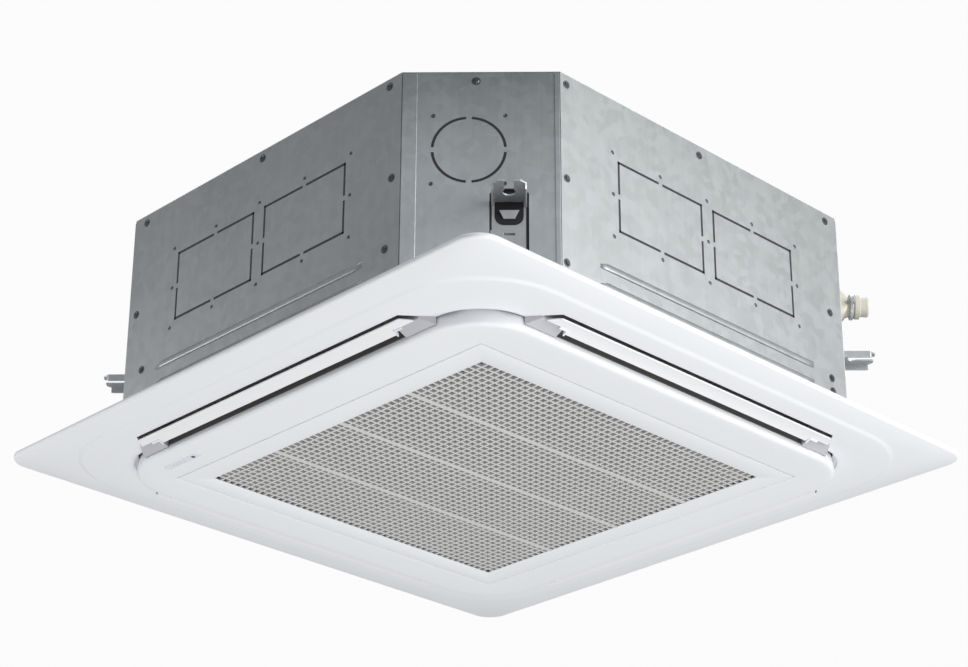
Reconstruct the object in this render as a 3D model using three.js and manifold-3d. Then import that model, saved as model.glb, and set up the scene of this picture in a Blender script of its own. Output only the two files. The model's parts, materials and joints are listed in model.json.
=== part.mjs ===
// A four-way ceiling cassette air conditioner: a sheet steel casing with cut corners that hangs
// above the ceiling, and a white panel with four louvers and a lattice inlet grille below it.
// Millimetres, +Z up. The origin is the unit's centre, in the ceiling plane (the panel's back).
import * as THREE from "three";
import { mergeVertices } from "three/addons/utils/BufferGeometryUtils.js";
import Module from "manifold-3d";

const wasm = await Module();
wasm.setup();

// ---------------------------------------------------------------- driving dimensions
const GAP = 0.3; // clearance between two pieces that touch
const RUNNING = 0.25; // radial clearance of a shaft in its bore

// casing
const CASING_HALF = 420; // half the width across two opposite walls
const CORNER_LEG = 142; // how much of each wall a cut corner takes away
const CASING_TOP = 320;
const CASING_BOTTOM = 4;
const SHEET = 1.2;
const BOTTOM_LIP = 15; // inward flange at the foot of each wall
const TOP_RIM = 18; // skirt of the top plate, inside the walls
const CORNER_LIP = 14; // bent edge of a corner panel, behind the wall
const BEAD_PROUD = 1;
const BEAD_WIDTH = 5;
const BEAD_INSET = 73; // from the wall's ends
const BEAD_HALF_LENGTH = CASING_HALF - CORNER_LEG - BEAD_INSET;
const BEAD_HEIGHTS = [40, 67];

// knock-outs
const CUT = 2.6; // width of a knock-out's cut line
const BRIDGE = 7; // length of the steel left between two cuts
const DUCT_WIDTH = 160;
const DUCT_HEIGHT = 100;
const DUCT_SPACING = 184;
const DUCT_CENTRE_Z = 179;
const FRESH_AIR_RADIUS = 46;
const FRESH_AIR_Z = 206;
const FRESH_AIR_SHIFT = -15; // off the corner panel's middle

// hangers
const BOLT_INSET = [80, 30]; // suspension bolts inside the walls' planes, along X and Y
const BOLT_PITCH = BOLT_INSET.map((inset) => 2 * (CASING_HALF - inset));
const BOLT_SLOT = 12; // for an M10 suspension bolt
const BOLT_EYE = 16;
const HANGER_WIDTH = 44;
const HANGER_TAB = 9; // the plate's overlap behind the corner panel, each side
const HANGER_SHEET = 2.3;
const HANGER_TOP = 134;
const HANGER_END = 29; // foot beyond the bolt
const HANGER_FLANGE = 10; // depth of the foot's bent edges
const HANGER_WINDOW = [14, 3]; // small slot in the plate
const HANGER_WINDOW_DROP = 46;
const CHANNEL_WIDTH = 49;
const CHANNEL_TOP = 150;
const CHANNEL_CORNER = 7;

// insulation and water
const LINER_SKIN = 12;
const PAN_TOP = 50;
const PAN_BOTTOM = CASING_BOTTOM + SHEET + GAP;
const TROUGH_FLOOR = 22;
const TROUGH_GAP = 4; // around the coil
const SUMP = 112; // side of the pump's corner of the trough
const SEAL_WIDTH = 12;

// coil
const COIL_INSET = 102; // coil's outer face inside the walls
const COIL_HALF = CASING_HALF - COIL_INSET;
const COIL_DEPTH = 36;
const COIL_RADIUS = 78;
const COIL_TOP = 292;
const COIL_CORNER_OPEN = 128; // left free for the pump, along each side
const COIL_OPEN = COIL_HALF - COIL_CORNER_OPEN;
const END_PLATE = 1.5;
const END_PLATE_MARGIN = 3;

// fan and motor
const BELL_INSET = 66; // inside the coil's outer face
const BELL_RADIUS = COIL_HALF - BELL_INSET;
const BELL_FLARE = 87;
const THROAT_RADIUS = BELL_RADIUS - BELL_FLARE;
const THROAT_TOP = 62;
const BELL_WALL = 2.5;
const BELL_SEAT_WIDTH = 14;
const FAN_INSET = 24; // inside the bell mouth's rim
const FAN_RADIUS = BELL_RADIUS - FAN_INSET;
const FAN_EYE_GAP = 5; // bell mouth to fan shroud
const FAN_WALL = 2.5;
const FAN_BOTTOM = 56;
const SHROUD_RISE = 46;
const FAN_TOP = 206;
const BLADE_COUNT = 7;
const BLADE_REACH = 78;
const BLADE_INNER = FAN_RADIUS - BLADE_REACH;
const HUB_RADIUS = 20;
const HUB_BOTTOM = 138;
const HUB_TOP = 166;
const SHAFT_RADIUS = 6;
const SHAFT_SEAT = 40; // how far the shaft reaches into the motor
const NUT_HEIGHT = 11;
const MOTOR_RADIUS = 72;
const MOTOR_BOTTOM = 196;
const MOTOR_TOP = 262;
const LUG_RADIUS = 96;
const LUG_SHEET = 4;
const BUSH_RADIUS = 9;
const BUSH_HEIGHT = 8;
const BUSH_CIRCLE = 86;
const BRACKET_SHEET = 2.5;
const BRACKET_LEG = 26;

// pump, float switch and drain
const PUMP_INSET = 50; // inside the coil's outer faces
const PUMP_PLACE = COIL_HALF - PUMP_INSET;
const PUMP_RADIUS = 26;
const PUMP_BODY = 78;
const PUMP_MOTOR_RADIUS = 20;
const PUMP_MOTOR = 44;
const HOSE_RADIUS = 10;
const HOSE_BEND = 34;
const DRAIN_Z = 230;
const DRAIN_RADIUS = 14;
const DRAIN_BORE = 10.5;
const DRAIN_REACH = 54;
const DRAIN_CHAMBER = 24;
const DRAIN_CHAMBER_LENGTH = 36;
const FLOAT_INSET = [86, 16];
const FLOAT_X = COIL_HALF - FLOAT_INSET[0];
const FLOAT_Y = COIL_HALF - FLOAT_INSET[1];
const FLOAT_STEM = 4;
const FLOAT_RADIUS = 12;
const FLOAT_HEIGHT = 16;
const FLOAT_TRAVEL = 14;
const FLOAT_REST = 10; // the float's lower stop above the trough

// pipes on the service side
const GAS_RADIUS = 7.94;
const LIQUID_RADIUS = 4.76;
const GAS_PLACE = [-150, 176]; // y and z
const LIQUID_PLACE = [-92, 176];
const GAS_NUT = 27;
const LIQUID_NUT = 22;
const FLARE_NUT_LENGTH = 22;
const PIPE_REACH = 54; // of the nuts beyond the wall
const PIPE_END = CASING_HALF + PIPE_REACH;
const PIPE_PLATE_WIDTH = 130;
const PIPE_PLATE_HEIGHT = 64;
const GLAND_RADIUS = 13;
const GLAND_BORE = 6;
const GLAND_PLACE = [190, 190]; // x and z on the rear wall

// control box
const BOX_LENGTH = 380;
const BOX_SHEET = 1;
const BOX_BOTTOM = -13;
const BOX_RISE = 30;
const BOX_DEPTH = 45;
const BOARD_SHEET = 1.6;

// panel
const PANEL_OVERLAP = 55; // beyond the casing's walls
const PANEL_HALF = CASING_HALF + PANEL_OVERLAP;
const PANEL_CORNER = 34;
const PANEL_EDGE = 6; // thickness of the panel's rim
const CREASE_INSET = 38; // where the flange's slope changes
const CREASE_HALF = PANEL_HALF - CREASE_INSET;
const CREASE_CORNER = 120;
const PANEL_DROP = 14; // flange surface below the ceiling, at the louvers
const PANEL_WALL = 3;
const PANEL_RIM = 9;
const SLOT_INSET = 15; // outlet's outer edge inside the walls
const SLOT_OUTER = CASING_HALF - SLOT_INSET;
const SLOT_CORNER = 143; // left closed at each corner
const SLOT_END = SLOT_OUTER - SLOT_CORNER; // half the slot's outer edge
const SLOT_FLARE = 30; // how much longer its inner edge is at each end
const SLOT_WIDTH = 37;
const CENTRE_HALF = SLOT_OUTER - SLOT_WIDTH;
const CENTRE_CORNER = 88;
const FACE_Z = -33; // lowest face of the panel
const FRAME_BAND = 65.5; // of the centre frame, round the door
const DOOR_HALF = CENTRE_HALF - FRAME_BAND;
const DOOR_SEAM = 1;
const LATTICE_MARGIN = 36.5;
const LATTICE_HALF = DOOR_HALF - LATTICE_MARGIN;
const LATTICE_CELLS = 8;
const LATTICE_BAR = 6;
const LATTICE_RIB = 9;
const LATTICE_THICK = 3;
const DOOR_WALL = 3;
const DOOR_FACE = 2.5;
const DOOR_RISE = 13;
const HINGE_INSET = 4.5; // hinge axis from the door's edge
const HINGE_RISE = 2.2; // hinge axis above the door's face
const HINGE_PIN = 1.2;
const HINGE_LENGTH = 12;
const FILTER_MARGIN = 14.5;
const FILTER_HALF = DOOR_HALF - FILTER_MARGIN;
const FILTER_BAR = 9;
const FILTER_THICK = 4;
const FILTER_BAYS = 4;
const CLIP_WIDTH = 22;
const CLIP_PLACE = 150;
const DISPLAY_LENGTH = 72;
const DISPLAY_WIDTH = 12;
const DISPLAY_PLACE = 249; // along the left side of the centre frame
const DISPLAY_DEPTH = 1.6;

// louvers
const LOUVER_CLEARANCE = 2; // at each edge of the slot
const LOUVER_CHORD = SLOT_WIDTH - 2 * LOUVER_CLEARANCE;
const LOUVER_Z = -20.5;
const LOUVER_AXIS = [CENTRE_HALF + SLOT_WIDTH / 2, LOUVER_Z]; // distance from the centre, and z
const LOUVER_TILT = 8.5; // degrees; the outer edge is the higher one
const LOUVER_THICK = 3;
const LOUVER_PLAY = 4; // from the slot's ends
const LOUVER_HALF_LENGTH = SLOT_END - LOUVER_PLAY;
const LOUVER_NOTCH_LENGTH = 22;
const LOUVER_NOTCH = LOUVER_HALF_LENGTH - LOUVER_NOTCH_LENGTH; // half length of the full-width part
const LOUVER_STRIP = 6; // the end strips start this far outside the axis
const LOUVER_SHAFT = 2;
const LOUVER_SHAFT_LENGTH = 14;
const HOUSING_OVERHANG = 3.4; // of a louver's housing beyond its axis
const HOUSING_BOTTOM = -29;
const HOUSING_TOP = 1;
const HOUSING_PLAY = 2; // end play of a louver

// ---------------------------------------------------------------- worked out from them
const CORNER_DISTANCE = (2 * CASING_HALF - CORNER_LEG) / Math.SQRT2;
const CORNER_WIDTH = CORNER_LEG * Math.SQRT2;
const WALL_HALF = CASING_HALF - CORNER_LEG;
const BOLT_OUT = (BOLT_PITCH[0] + BOLT_PITCH[1]) / 2 / Math.SQRT2;
const BOLT_SHIFT = (BOLT_PITCH[1] - BOLT_PITCH[0]) / 2 / Math.SQRT2;
const WALL_TOP = CASING_TOP - SHEET;
const LINER_INSET = 2 * SHEET + 3 * GAP;
const SURFACE_Z = -PANEL_DROP;
const TRAY_Z = SURFACE_Z + PANEL_WALL;
const OPENING_HALF = DOOR_HALF + DOOR_SEAM;
const COLLAR_TOP = PAN_BOTTOM - GAP;
const SEAT_INSET = BOTTOM_LIP - SHEET;
const SHROUD_RADIUS = THROAT_RADIUS + BELL_WALL + FAN_EYE_GAP;
const BUSH_TOP = MOTOR_TOP + LUG_SHEET + BUSH_HEIGHT;
const BOX_NEAR = BELL_RADIUS + 1.5;
const BOX_FAR = BOX_NEAR + BOX_DEPTH;
const HINGE_X = -(DOOR_HALF - HINGE_INSET);
const HINGE_Z = FACE_Z + HINGE_RISE;

// ---------------------------------------------------------------- solids
function solidOf(geometry) {
  const bare = geometry.index ? geometry.toNonIndexed() : geometry.clone();
  bare.deleteAttribute("normal");
  bare.deleteAttribute("uv");
  const merged = mergeVertices(bare, 1e-4);
  const triVerts = new Uint32Array(merged.index.array);
  const vertProperties = new Float32Array(merged.attributes.position.array);
  return new wasm.Manifold(new wasm.Mesh({ numProp: 3, vertProperties, triVerts }));
}

function geometryOf(manifold) {
  const mesh = manifold.getMesh();
  const position = new Float32Array(mesh.numVert * 3);
  for (let i = 0; i < mesh.numVert; i++) {
    const start = i * mesh.numProp;
    position.set(mesh.vertProperties.subarray(start, start + 3), i * 3);
  }
  const geometry = new THREE.BufferGeometry();
  geometry.setAttribute("position", new THREE.BufferAttribute(position, 3));
  geometry.setIndex(new THREE.BufferAttribute(new Uint32Array(mesh.triVerts), 1));
  return geometry;
}

const join = (...pieces) => geometryOf(pieces.map(solidOf).reduce((a, b) => a.add(b)));
const cut = (body, ...tools) =>
  geometryOf(tools.map(solidOf).reduce((a, b) => a.subtract(b), solidOf(body)));

function box(x0, x1, y0, y1, z0, z1) {
  const geometry = new THREE.BoxGeometry(x1 - x0, y1 - y0, z1 - z0);
  return geometry.translate((x0 + x1) / 2, (y0 + y1) / 2, (z0 + z1) / 2);
}

// An outline of [x, y] points, raised from z0 to z1.
function prism(points, z0, z1) {
  const shape = new THREE.Shape(points.map(([x, y]) => new THREE.Vector2(x, y)));
  const geometry = new THREE.ExtrudeGeometry(shape, { depth: z1 - z0, bevelEnabled: false });
  return geometry.translate(0, 0, z0);
}

// Turns the faces of a mirrored solid outwards again.
function flipped(geometry) {
  const bare = geometry.index ? geometry.toNonIndexed() : geometry;
  const position = bare.getAttribute("position");
  const a = new THREE.Vector3();
  const b = new THREE.Vector3();
  for (let i = 0; i < position.count; i += 3) {
    a.fromBufferAttribute(position, i);
    b.fromBufferAttribute(position, i + 1);
    position.setXYZ(i, b.x, b.y, b.z);
    position.setXYZ(i + 1, a.x, a.y, a.z);
  }
  return bare;
}

// A closed profile of [radius, z] points, listed anticlockwise, spun about Z.
function turned(profile, segments) {
  const points = profile.map(([r, z]) => new THREE.Vector2(r, z));
  if (profile.every(([r]) => r > 0)) points.push(points[0].clone());
  return new THREE.LatheGeometry(points, segments).rotateX(Math.PI / 2);
}

// A cylinder along Z, turned to point along an axis and moved to its start.
function rod(radius, start, axis, length, segments = 16) {
  const geometry = new THREE.CylinderGeometry(radius, radius, length, segments);
  geometry.translate(0, length / 2, 0);
  const way = new THREE.Vector3(...axis).normalize();
  geometry.applyQuaternion(new THREE.Quaternion().setFromUnitVectors(THREE.Object3D.DEFAULT_UP, way));
  return geometry.translate(...start);
}

function hexagon(acrossFlats, start, axis, length) {
  return rod(acrossFlats / Math.sqrt(3), start, axis, length, 6);
}

// Points of a rounded square, anticlockwise.
function roundedSquare(half, radius, steps = 8) {
  const points = [];
  for (let corner = 0; corner < 4; corner++) {
    const from = (corner * Math.PI) / 2;
    const middle = new THREE.Vector2(half - radius, half - radius);
    middle.rotateAround(new THREE.Vector2(), from);
    for (let i = 0; i <= steps; i++) {
      const angle = from + (i / steps) * (Math.PI / 2);
      points.push([middle.x + radius * Math.cos(angle), middle.y + radius * Math.sin(angle)]);
    }
  }
  return points;
}

// Points of the casing's outline, moved inwards by inset.
function octagon(inset) {
  const half = CASING_HALF - inset;
  const leg = CORNER_LEG - inset * (2 - Math.SQRT2);
  const flat = half - leg;
  const corners = [
    [half, -flat],
    [half, flat],
    [flat, half],
    [-flat, half],
    [-half, flat],
    [-half, -flat],
    [-flat, -half],
    [flat, -half],
  ];
  return corners;
}

// A solid through rounded-square rings { half, radius, z }, listed from the top down.
function loft(rings) {
  const outlines = rings.map(({ half, radius }) => roundedSquare(half, radius));
  const count = outlines[0].length;
  const position = [];
  outlines.forEach((outline, i) => outline.forEach(([x, y]) => position.push(x, y, rings[i].z)));
  const top = position.length / 3;
  position.push(0, 0, rings[0].z);
  const bottom = top + 1;
  position.push(0, 0, rings[rings.length - 1].z);
  const index = [];
  const last = (rings.length - 1) * count;
  for (let i = 0; i < count; i++) {
    const next = (i + 1) % count;
    index.push(top, i, next, bottom, last + next, last + i);
    for (let ring = 0; ring < last; ring += count) {
      index.push(ring + i, ring + count + i, ring + next);
      index.push(ring + next, ring + count + i, ring + count + next);
    }
  }
  const geometry = new THREE.BufferGeometry();
  geometry.setAttribute("position", new THREE.Float32BufferAttribute(position, 3));
  geometry.setIndex(index);
  return geometry;
}

// ---------------------------------------------------------------- sides and corners
// Side pieces are made for the +X side and turned by exact quarter turns.
const SIDES = ["right", "rear", "left", "front"];
// Corner pieces are made on +X and turned to the corner between two sides.
const CORNERS = ["far", "left", "near", "right"];

const QUARTER = new THREE.Matrix4().set(0, -1, 0, 0, 1, 0, 0, 0, 0, 0, 1, 0, 0, 0, 0, 1);
function toSide(geometry, side) {
  const turnedPiece = geometry.clone();
  for (let i = 0; i < side; i++) turnedPiece.applyMatrix4(QUARTER);
  return turnedPiece;
}
const toCorner = (geometry, corner) => geometry.clone().rotateZ(Math.PI / 4 + (corner * Math.PI) / 2);

// ---------------------------------------------------------------- casing
// The cut line of a rectangular knock-out: four L shapes with a bridge in the middle of each side.
function ductCuts(centreY) {
  const cuts = [];
  const depth = [CASING_HALF - 2 * SHEET, CASING_HALF + SHEET];
  for (const sy of [-1, 1])
    for (const sz of [-1, 1]) {
      const y = centreY + (sy * DUCT_WIDTH) / 2;
      const z = DUCT_CENTRE_Z + (sz * DUCT_HEIGHT) / 2;
      const yInner = centreY + (sy * BRIDGE) / 2;
      const zInner = DUCT_CENTRE_Z + (sz * BRIDGE) / 2;
      const [ya, yb] = [y, yInner].sort((a, b) => a - b);
      const [za, zb] = [z, zInner].sort((a, b) => a - b);
      const h = CUT / 2;
      cuts.push(box(...depth, ya - (sy < 0 ? h : 0), yb + (sy > 0 ? h : 0), z - h, z + h));
      cuts.push(box(...depth, y - h, y + h, za, zb));
    }
  return cuts;
}

function wallHoles(side) {
  const name = SIDES[side];
  const inside = CASING_HALF - 20;
  if (name === "right")
    return [GAS_PLACE, LIQUID_PLACE].map(([y, z]) =>
      rod(GAS_RADIUS + 8, [inside, y, z], [1, 0, 0], 40),
    );
  if (name === "rear") {
    const [x, z] = GLAND_PLACE;
    return [rod(GLAND_RADIUS - 2, [inside, -x, z], [1, 0, 0], 40)];
  }
  return [];
}

function sidePanel(side) {
  const outer = CASING_HALF;
  const sheet = box(outer - SHEET, outer, -WALL_HALF, WALL_HALF, CASING_BOTTOM, WALL_TOP);
  const lipHalf = WALL_HALF - BOTTOM_LIP;
  const lip = box(outer - BOTTOM_LIP, outer, -lipHalf, lipHalf, CASING_BOTTOM, CASING_BOTTOM + SHEET);
  const beads = BEAD_HEIGHTS.map((z) => {
    const half = BEAD_WIDTH / 2;
    const proud = outer + BEAD_PROUD;
    return box(outer - SHEET, proud, -BEAD_HALF_LENGTH, BEAD_HALF_LENGTH, z - half, z + half);
  });
  const knockOuts = side === 0 ? [] : [-1, 1].flatMap((s) => ductCuts((s * DUCT_SPACING) / 2));
  return toSide(cut(join(sheet, lip, ...beads), ...knockOuts, ...wallHoles(side)), side);
}

// The cut line of the round fresh-air knock-out: four arcs between bridges.
function freshAirCuts() {
  const cuts = [];
  const bridgeAngle = BRIDGE / FRESH_AIR_RADIUS;
  for (let i = 0; i < 4; i++) {
    const from = (i * Math.PI) / 2 + bridgeAngle / 2;
    const sweep = Math.PI / 2 - bridgeAngle;
    const points = [];
    const steps = 7;
    for (let k = 0; k <= steps; k++) points.push([FRESH_AIR_RADIUS + CUT / 2, from + (sweep * k) / steps]);
    for (let k = steps; k >= 0; k--) points.push([FRESH_AIR_RADIUS - CUT / 2, from + (sweep * k) / steps]);
    const arc = prism(points.map(([r, a]) => [r * Math.cos(a), r * Math.sin(a)]), -20, 20);
    arc.rotateY(Math.PI / 2);
    cuts.push(arc.translate(CORNER_DISTANCE, FRESH_AIR_SHIFT, FRESH_AIR_Z));
  }
  return cuts;
}

// A corner panel with its bent edges behind the walls, and the channel for its hanger.
function cornerPanel(corner) {
  const d = CORNER_DISTANCE;
  const half = CORNER_WIDTH / 2 - 1;
  const sheet = box(d - SHEET, d, -half, half, CASING_BOTTOM, WALL_TOP - GAP);
  const lips = [-1, 1].map((s) => {
    const from = [d - SHEET / 2, s * (half - SHEET)];
    const lip = box(-SHEET, 0, -CORNER_LIP / 2, CORNER_LIP / 2, CASING_BOTTOM + SHEET + GAP, WALL_TOP - TOP_RIM - 2);
    lip.translate(0, (s * CORNER_LIP) / 2, 0);
    lip.rotateZ((s * Math.PI) / 4);
    return lip.translate(from[0], from[1], 0);
  });
  const holes = [hangerChannel(corner, CHANNEL_WIDTH, CHANNEL_TOP, [d - 20, d + 20])];
  if (CORNERS[corner] === "near") holes.push(...freshAirCuts());
  if (CORNERS[corner] === "right")
    holes.push(rod(DRAIN_RADIUS + GAP, [d - 20, 0, DRAIN_Z], [1, 0, 0], 40));
  return toCorner(cut(join(sheet, ...lips), ...holes), corner);
}

// The suspension bolts form a rectangle, so the hangers lie to alternate sides of the corners.
const boltShift = (corner) => (corner % 2 ? -BOLT_SHIFT : BOLT_SHIFT);

// The space round a hanger: a slot open at the bottom, with rounded top corners.
function hangerChannel(corner, width, top, [from, to]) {
  const half = width / 2;
  const r = CHANNEL_CORNER;
  const outline = [
    [-1, -half],
    [top - r, -half],
    [top, r - half],
    [top, half - r],
    [top - r, half],
    [-1, half],
  ];
  const slot = prism(outline, from, to);
  slot.applyMatrix4(new THREE.Matrix4().set(0, 0, 1, 0, 0, 1, 0, 0, 1, 0, 0, 0, 0, 0, 0, 1));
  return flipped(slot).translate(0, boltShift(corner), 0);
}

// A hanger: a plate behind the corner's channel, and a foot with bent edges and an open bolt slot.
function hangerBracket(corner) {
  const d = CORNER_DISTANCE;
  const t = HANGER_SHEET;
  const half = HANGER_WIDTH / 2;
  const end = BOLT_OUT + HANGER_END;
  const front = d - SHEET - GAP;
  const wide = CHANNEL_WIDTH / 2 + HANGER_TAB;
  const plate = box(front - t, front, -wide, wide, PAN_BOTTOM, HANGER_TOP);
  const foot = box(front - t / 2, end, -half, half, HANGER_TOP - t, HANGER_TOP);
  const flanges = [-half, half - t].map((y) =>
    box(front - t / 2, end, y, y + t, HANGER_TOP - HANGER_FLANGE, HANGER_TOP),
  );
  const low = HANGER_TOP - t - 1;
  const slot = box(BOLT_OUT, end + 1, -BOLT_SLOT / 2, BOLT_SLOT / 2, low, HANGER_TOP + 1);
  const eye = rod(BOLT_EYE / 2, [BOLT_OUT, 0, low], [0, 0, 1], t + 2, 20);
  const [w, h] = HANGER_WINDOW;
  const windowTop = HANGER_TOP - HANGER_WINDOW_DROP;
  const window = box(front - t - 1, d, -w / 2, w / 2, windowTop - h, windowTop);
  const bracket = cut(join(plate, foot, ...flanges), slot, eye, window);
  return toCorner(bracket.translate(0, boltShift(corner), 0), corner);
}

function topPlate() {
  const lid = prism(octagon(0), WALL_TOP, CASING_TOP);
  const inset = SHEET + GAP;
  const rim = cut(
    prism(octagon(inset), WALL_TOP - TOP_RIM, WALL_TOP + SHEET / 2),
    prism(octagon(inset + SHEET), WALL_TOP - TOP_RIM - 1, WALL_TOP),
  );
  return join(lid, rim);
}

// Room in the insulation behind each hanger.
function hangerPockets() {
  const span = [CORNER_DISTANCE - LINER_SKIN / 2, CORNER_DISTANCE + 5];
  const width = CHANNEL_WIDTH + 2 * HANGER_TAB + 2;
  return CORNERS.map((name, corner) =>
    toCorner(hangerChannel(corner, width, CHANNEL_TOP + 2, span), corner),
  );
}

function foamLiner() {
  const top = WALL_TOP - GAP;
  const shell = cut(
    prism(octagon(LINER_INSET), PAN_TOP + GAP, WALL_TOP - TOP_RIM - GAP),
    prism(octagon(LINER_INSET + LINER_SKIN), 0, CASING_TOP),
  );
  const lid = cut(
    prism(octagon(LINER_INSET), WALL_TOP - TOP_RIM - LINER_SKIN, top),
    prism(octagon(LINER_INSET + LINER_SKIN), 0, CASING_TOP),
  );
  const away = GAP + 4;
  const pipeHoles = [GAS_PLACE, LIQUID_PLACE].map(([y, z]) =>
    rod(GAS_RADIUS + away, [CASING_HALF - 40, y, z], [1, 0, 0], 60),
  );
  const [gx, gz] = GLAND_PLACE;
  const glandHole = rod(GLAND_RADIUS + away, [gx, CASING_HALF - 40, gz], [0, 1, 0], 60);
  const drain = rod(DRAIN_RADIUS + 6, [CORNER_DISTANCE - 60, 0, DRAIN_Z], [1, 0, 0], 80);
  return cut(join(shell, lid), ...pipeHoles, glandHole, toCorner(drain, 3), ...hangerPockets());
}

// ---------------------------------------------------------------- water and air
// The outlet's four-sided outline on the +X side: longer at its inner edge.
function slotOutline(inner, outer, end, flare) {
  return [
    [inner, -end - flare],
    [outer, -end],
    [outer, end],
    [inner, end + flare],
  ];
}

function drainPan() {
  const block = prism(octagon(LINER_INSET), PAN_BOTTOM, PAN_TOP);
  const trough = cut(
    prism(roundedSquare(COIL_HALF + TROUGH_GAP, COIL_RADIUS), TROUGH_FLOOR, PAN_TOP + 1),
    prism(roundedSquare(COIL_HALF - COIL_DEPTH - TROUGH_GAP, COIL_RADIUS - COIL_DEPTH), 0, PAN_TOP + 2),
  );
  const sumpOut = COIL_HALF + TROUGH_GAP;
  const sump = box(sumpOut - SUMP, sumpOut, -sumpOut, -sumpOut + SUMP, TROUGH_FLOOR, PAN_TOP + 1);
  const throat = turned([[0, 0], [BELL_RADIUS - BELL_SEAT_WIDTH, 0], [BELL_RADIUS - BELL_SEAT_WIDTH, 90], [0, 90]], 36);
  const outlet = prism(slotOutline(CENTRE_HALF - 4, SLOT_OUTER - 3, SLOT_END, 0), 0, PAN_TOP + 1);
  const outlets = SIDES.map((name, side) => toSide(outlet, side));
  const boxHalf = BOX_LENGTH / 2 + 1;
  const boxTop = BOX_BOTTOM + BOX_RISE + GAP;
  const recess = box(-boxHalf, boxHalf, BOX_NEAR - 1, BOX_FAR + 1, 0, boxTop);
  return cut(block, trough, sump, throat, ...outlets, recess, ...hangerPockets());
}

// The inlet ring: a seat under the drain pan, and a curved throat up to the fan.
function bellMouth() {
  const seatLow = PAN_BOTTOM - GAP - BELL_WALL;
  const lip = BELL_RADIUS - BELL_SEAT_WIDTH - 2;
  const steps = 5;
  const curve = (offset) => {
    const points = [];
    for (let i = 0; i <= steps; i++) {
      const angle = (i / steps) * (Math.PI / 2);
      const r = lip - (lip - THROAT_RADIUS) * Math.sin(angle);
      const z = seatLow + (THROAT_TOP - seatLow) * (1 - Math.cos(angle));
      points.push([r + offset * Math.sin(angle), z + offset * Math.cos(angle)]);
    }
    return points;
  };
  const seat = [[BELL_RADIUS, seatLow], [BELL_RADIUS, seatLow + BELL_WALL]];
  return turned([...seat, ...curve(BELL_WALL), ...curve(0).reverse()], 36);
}

function heatExchanger() {
  const inner = COIL_HALF - COIL_DEPTH;
  const ring = cut(
    prism(roundedSquare(COIL_HALF, COIL_RADIUS), TROUGH_FLOOR, COIL_TOP),
    prism(roundedSquare(inner, COIL_RADIUS - COIL_DEPTH), 0, CASING_TOP),
  );
  const away = COIL_HALF + 10;
  return cut(ring, box(COIL_OPEN, away, -away, -COIL_OPEN, 0, CASING_TOP));
}

function coilEndPlate(alongX) {
  const m = END_PLATE_MARGIN;
  const near = COIL_OPEN + GAP;
  const span = [COIL_HALF - COIL_DEPTH - m, COIL_HALF + m];
  const plate = box(near, near + END_PLATE, -span[1], -span[0], TROUGH_FLOOR, COIL_TOP + m);
  if (alongX) return plate;
  return box(span[0], span[1], -near - END_PLATE, -near, TROUGH_FLOOR, COIL_TOP + m);
}

// ---------------------------------------------------------------- fan
function fanBlade(index) {
  const outer = FAN_RADIUS - 2;
  const steps = 5;
  const lean = 0.62; // radians that a blade falls back over its length
  const edge = (offset) => {
    const points = [];
    for (let i = 0; i <= steps; i++) {
      const r = BLADE_INNER + (outer - BLADE_INNER) * (i / steps);
      const angle = lean * Math.sqrt(i / steps) + offset / r;
      points.push([r * Math.cos(angle), r * Math.sin(angle)]);
    }
    return points;
  };
  const outline = [...edge(-FAN_WALL / 2), ...edge(FAN_WALL / 2).reverse()];
  const low = FAN_BOTTOM + SHROUD_RISE - FAN_WALL;
  const blade = prism(outline, low, FAN_TOP - FAN_WALL / 2);
  return blade.rotateZ((index * 2 * Math.PI) / BLADE_COUNT);
}

function turboFan() {
  const t = FAN_WALL;
  const rim = BLADE_INNER;
  const backPlate = turned(
    [
      [SHAFT_RADIUS + RUNNING, HUB_BOTTOM],
      [HUB_RADIUS, HUB_BOTTOM],
      [HUB_RADIUS, HUB_TOP - 14],
      [60, HUB_TOP - 12],
      [rim - 38, FAN_TOP - 16],
      [rim + 2, FAN_TOP - t],
      [FAN_RADIUS, FAN_TOP - t],
      [FAN_RADIUS, FAN_TOP],
      [rim, FAN_TOP],
      [rim - 40, FAN_TOP - 13],
      [58, HUB_TOP - 9],
      [HUB_RADIUS, HUB_TOP - 9],
      [HUB_RADIUS, HUB_TOP],
      [SHAFT_RADIUS + RUNNING, HUB_TOP],
    ],
    28,
  );
  const r = SHROUD_RADIUS;
  const rise = SHROUD_RISE;
  const low = FAN_BOTTOM;
  const shroud = turned(
    [
      [r, low],
      [r + t, low],
      [r + t + 3, low + rise * 0.45],
      [r + t + 14, low + rise * 0.8],
      [FAN_RADIUS, low + rise],
      [FAN_RADIUS, low + rise + t],
      [r + 13, low + rise * 0.8 + t],
      [r + 2.5, low + rise * 0.45 + 1],
    ],
    28,
  );
  const blades = [];
  for (let i = 0; i < BLADE_COUNT; i++) blades.push(fanBlade(i));
  return join(backPlate, shroud, ...blades);
}

// The shaft turns with the fan; its upper end runs in the motor.
function fanShaft() {
  const start = HUB_BOTTOM - NUT_HEIGHT - 3;
  const length = MOTOR_BOTTOM + SHAFT_SEAT - GAP - start;
  return rod(SHAFT_RADIUS, [0, 0, start], [0, 0, 1], length, 20);
}

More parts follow.
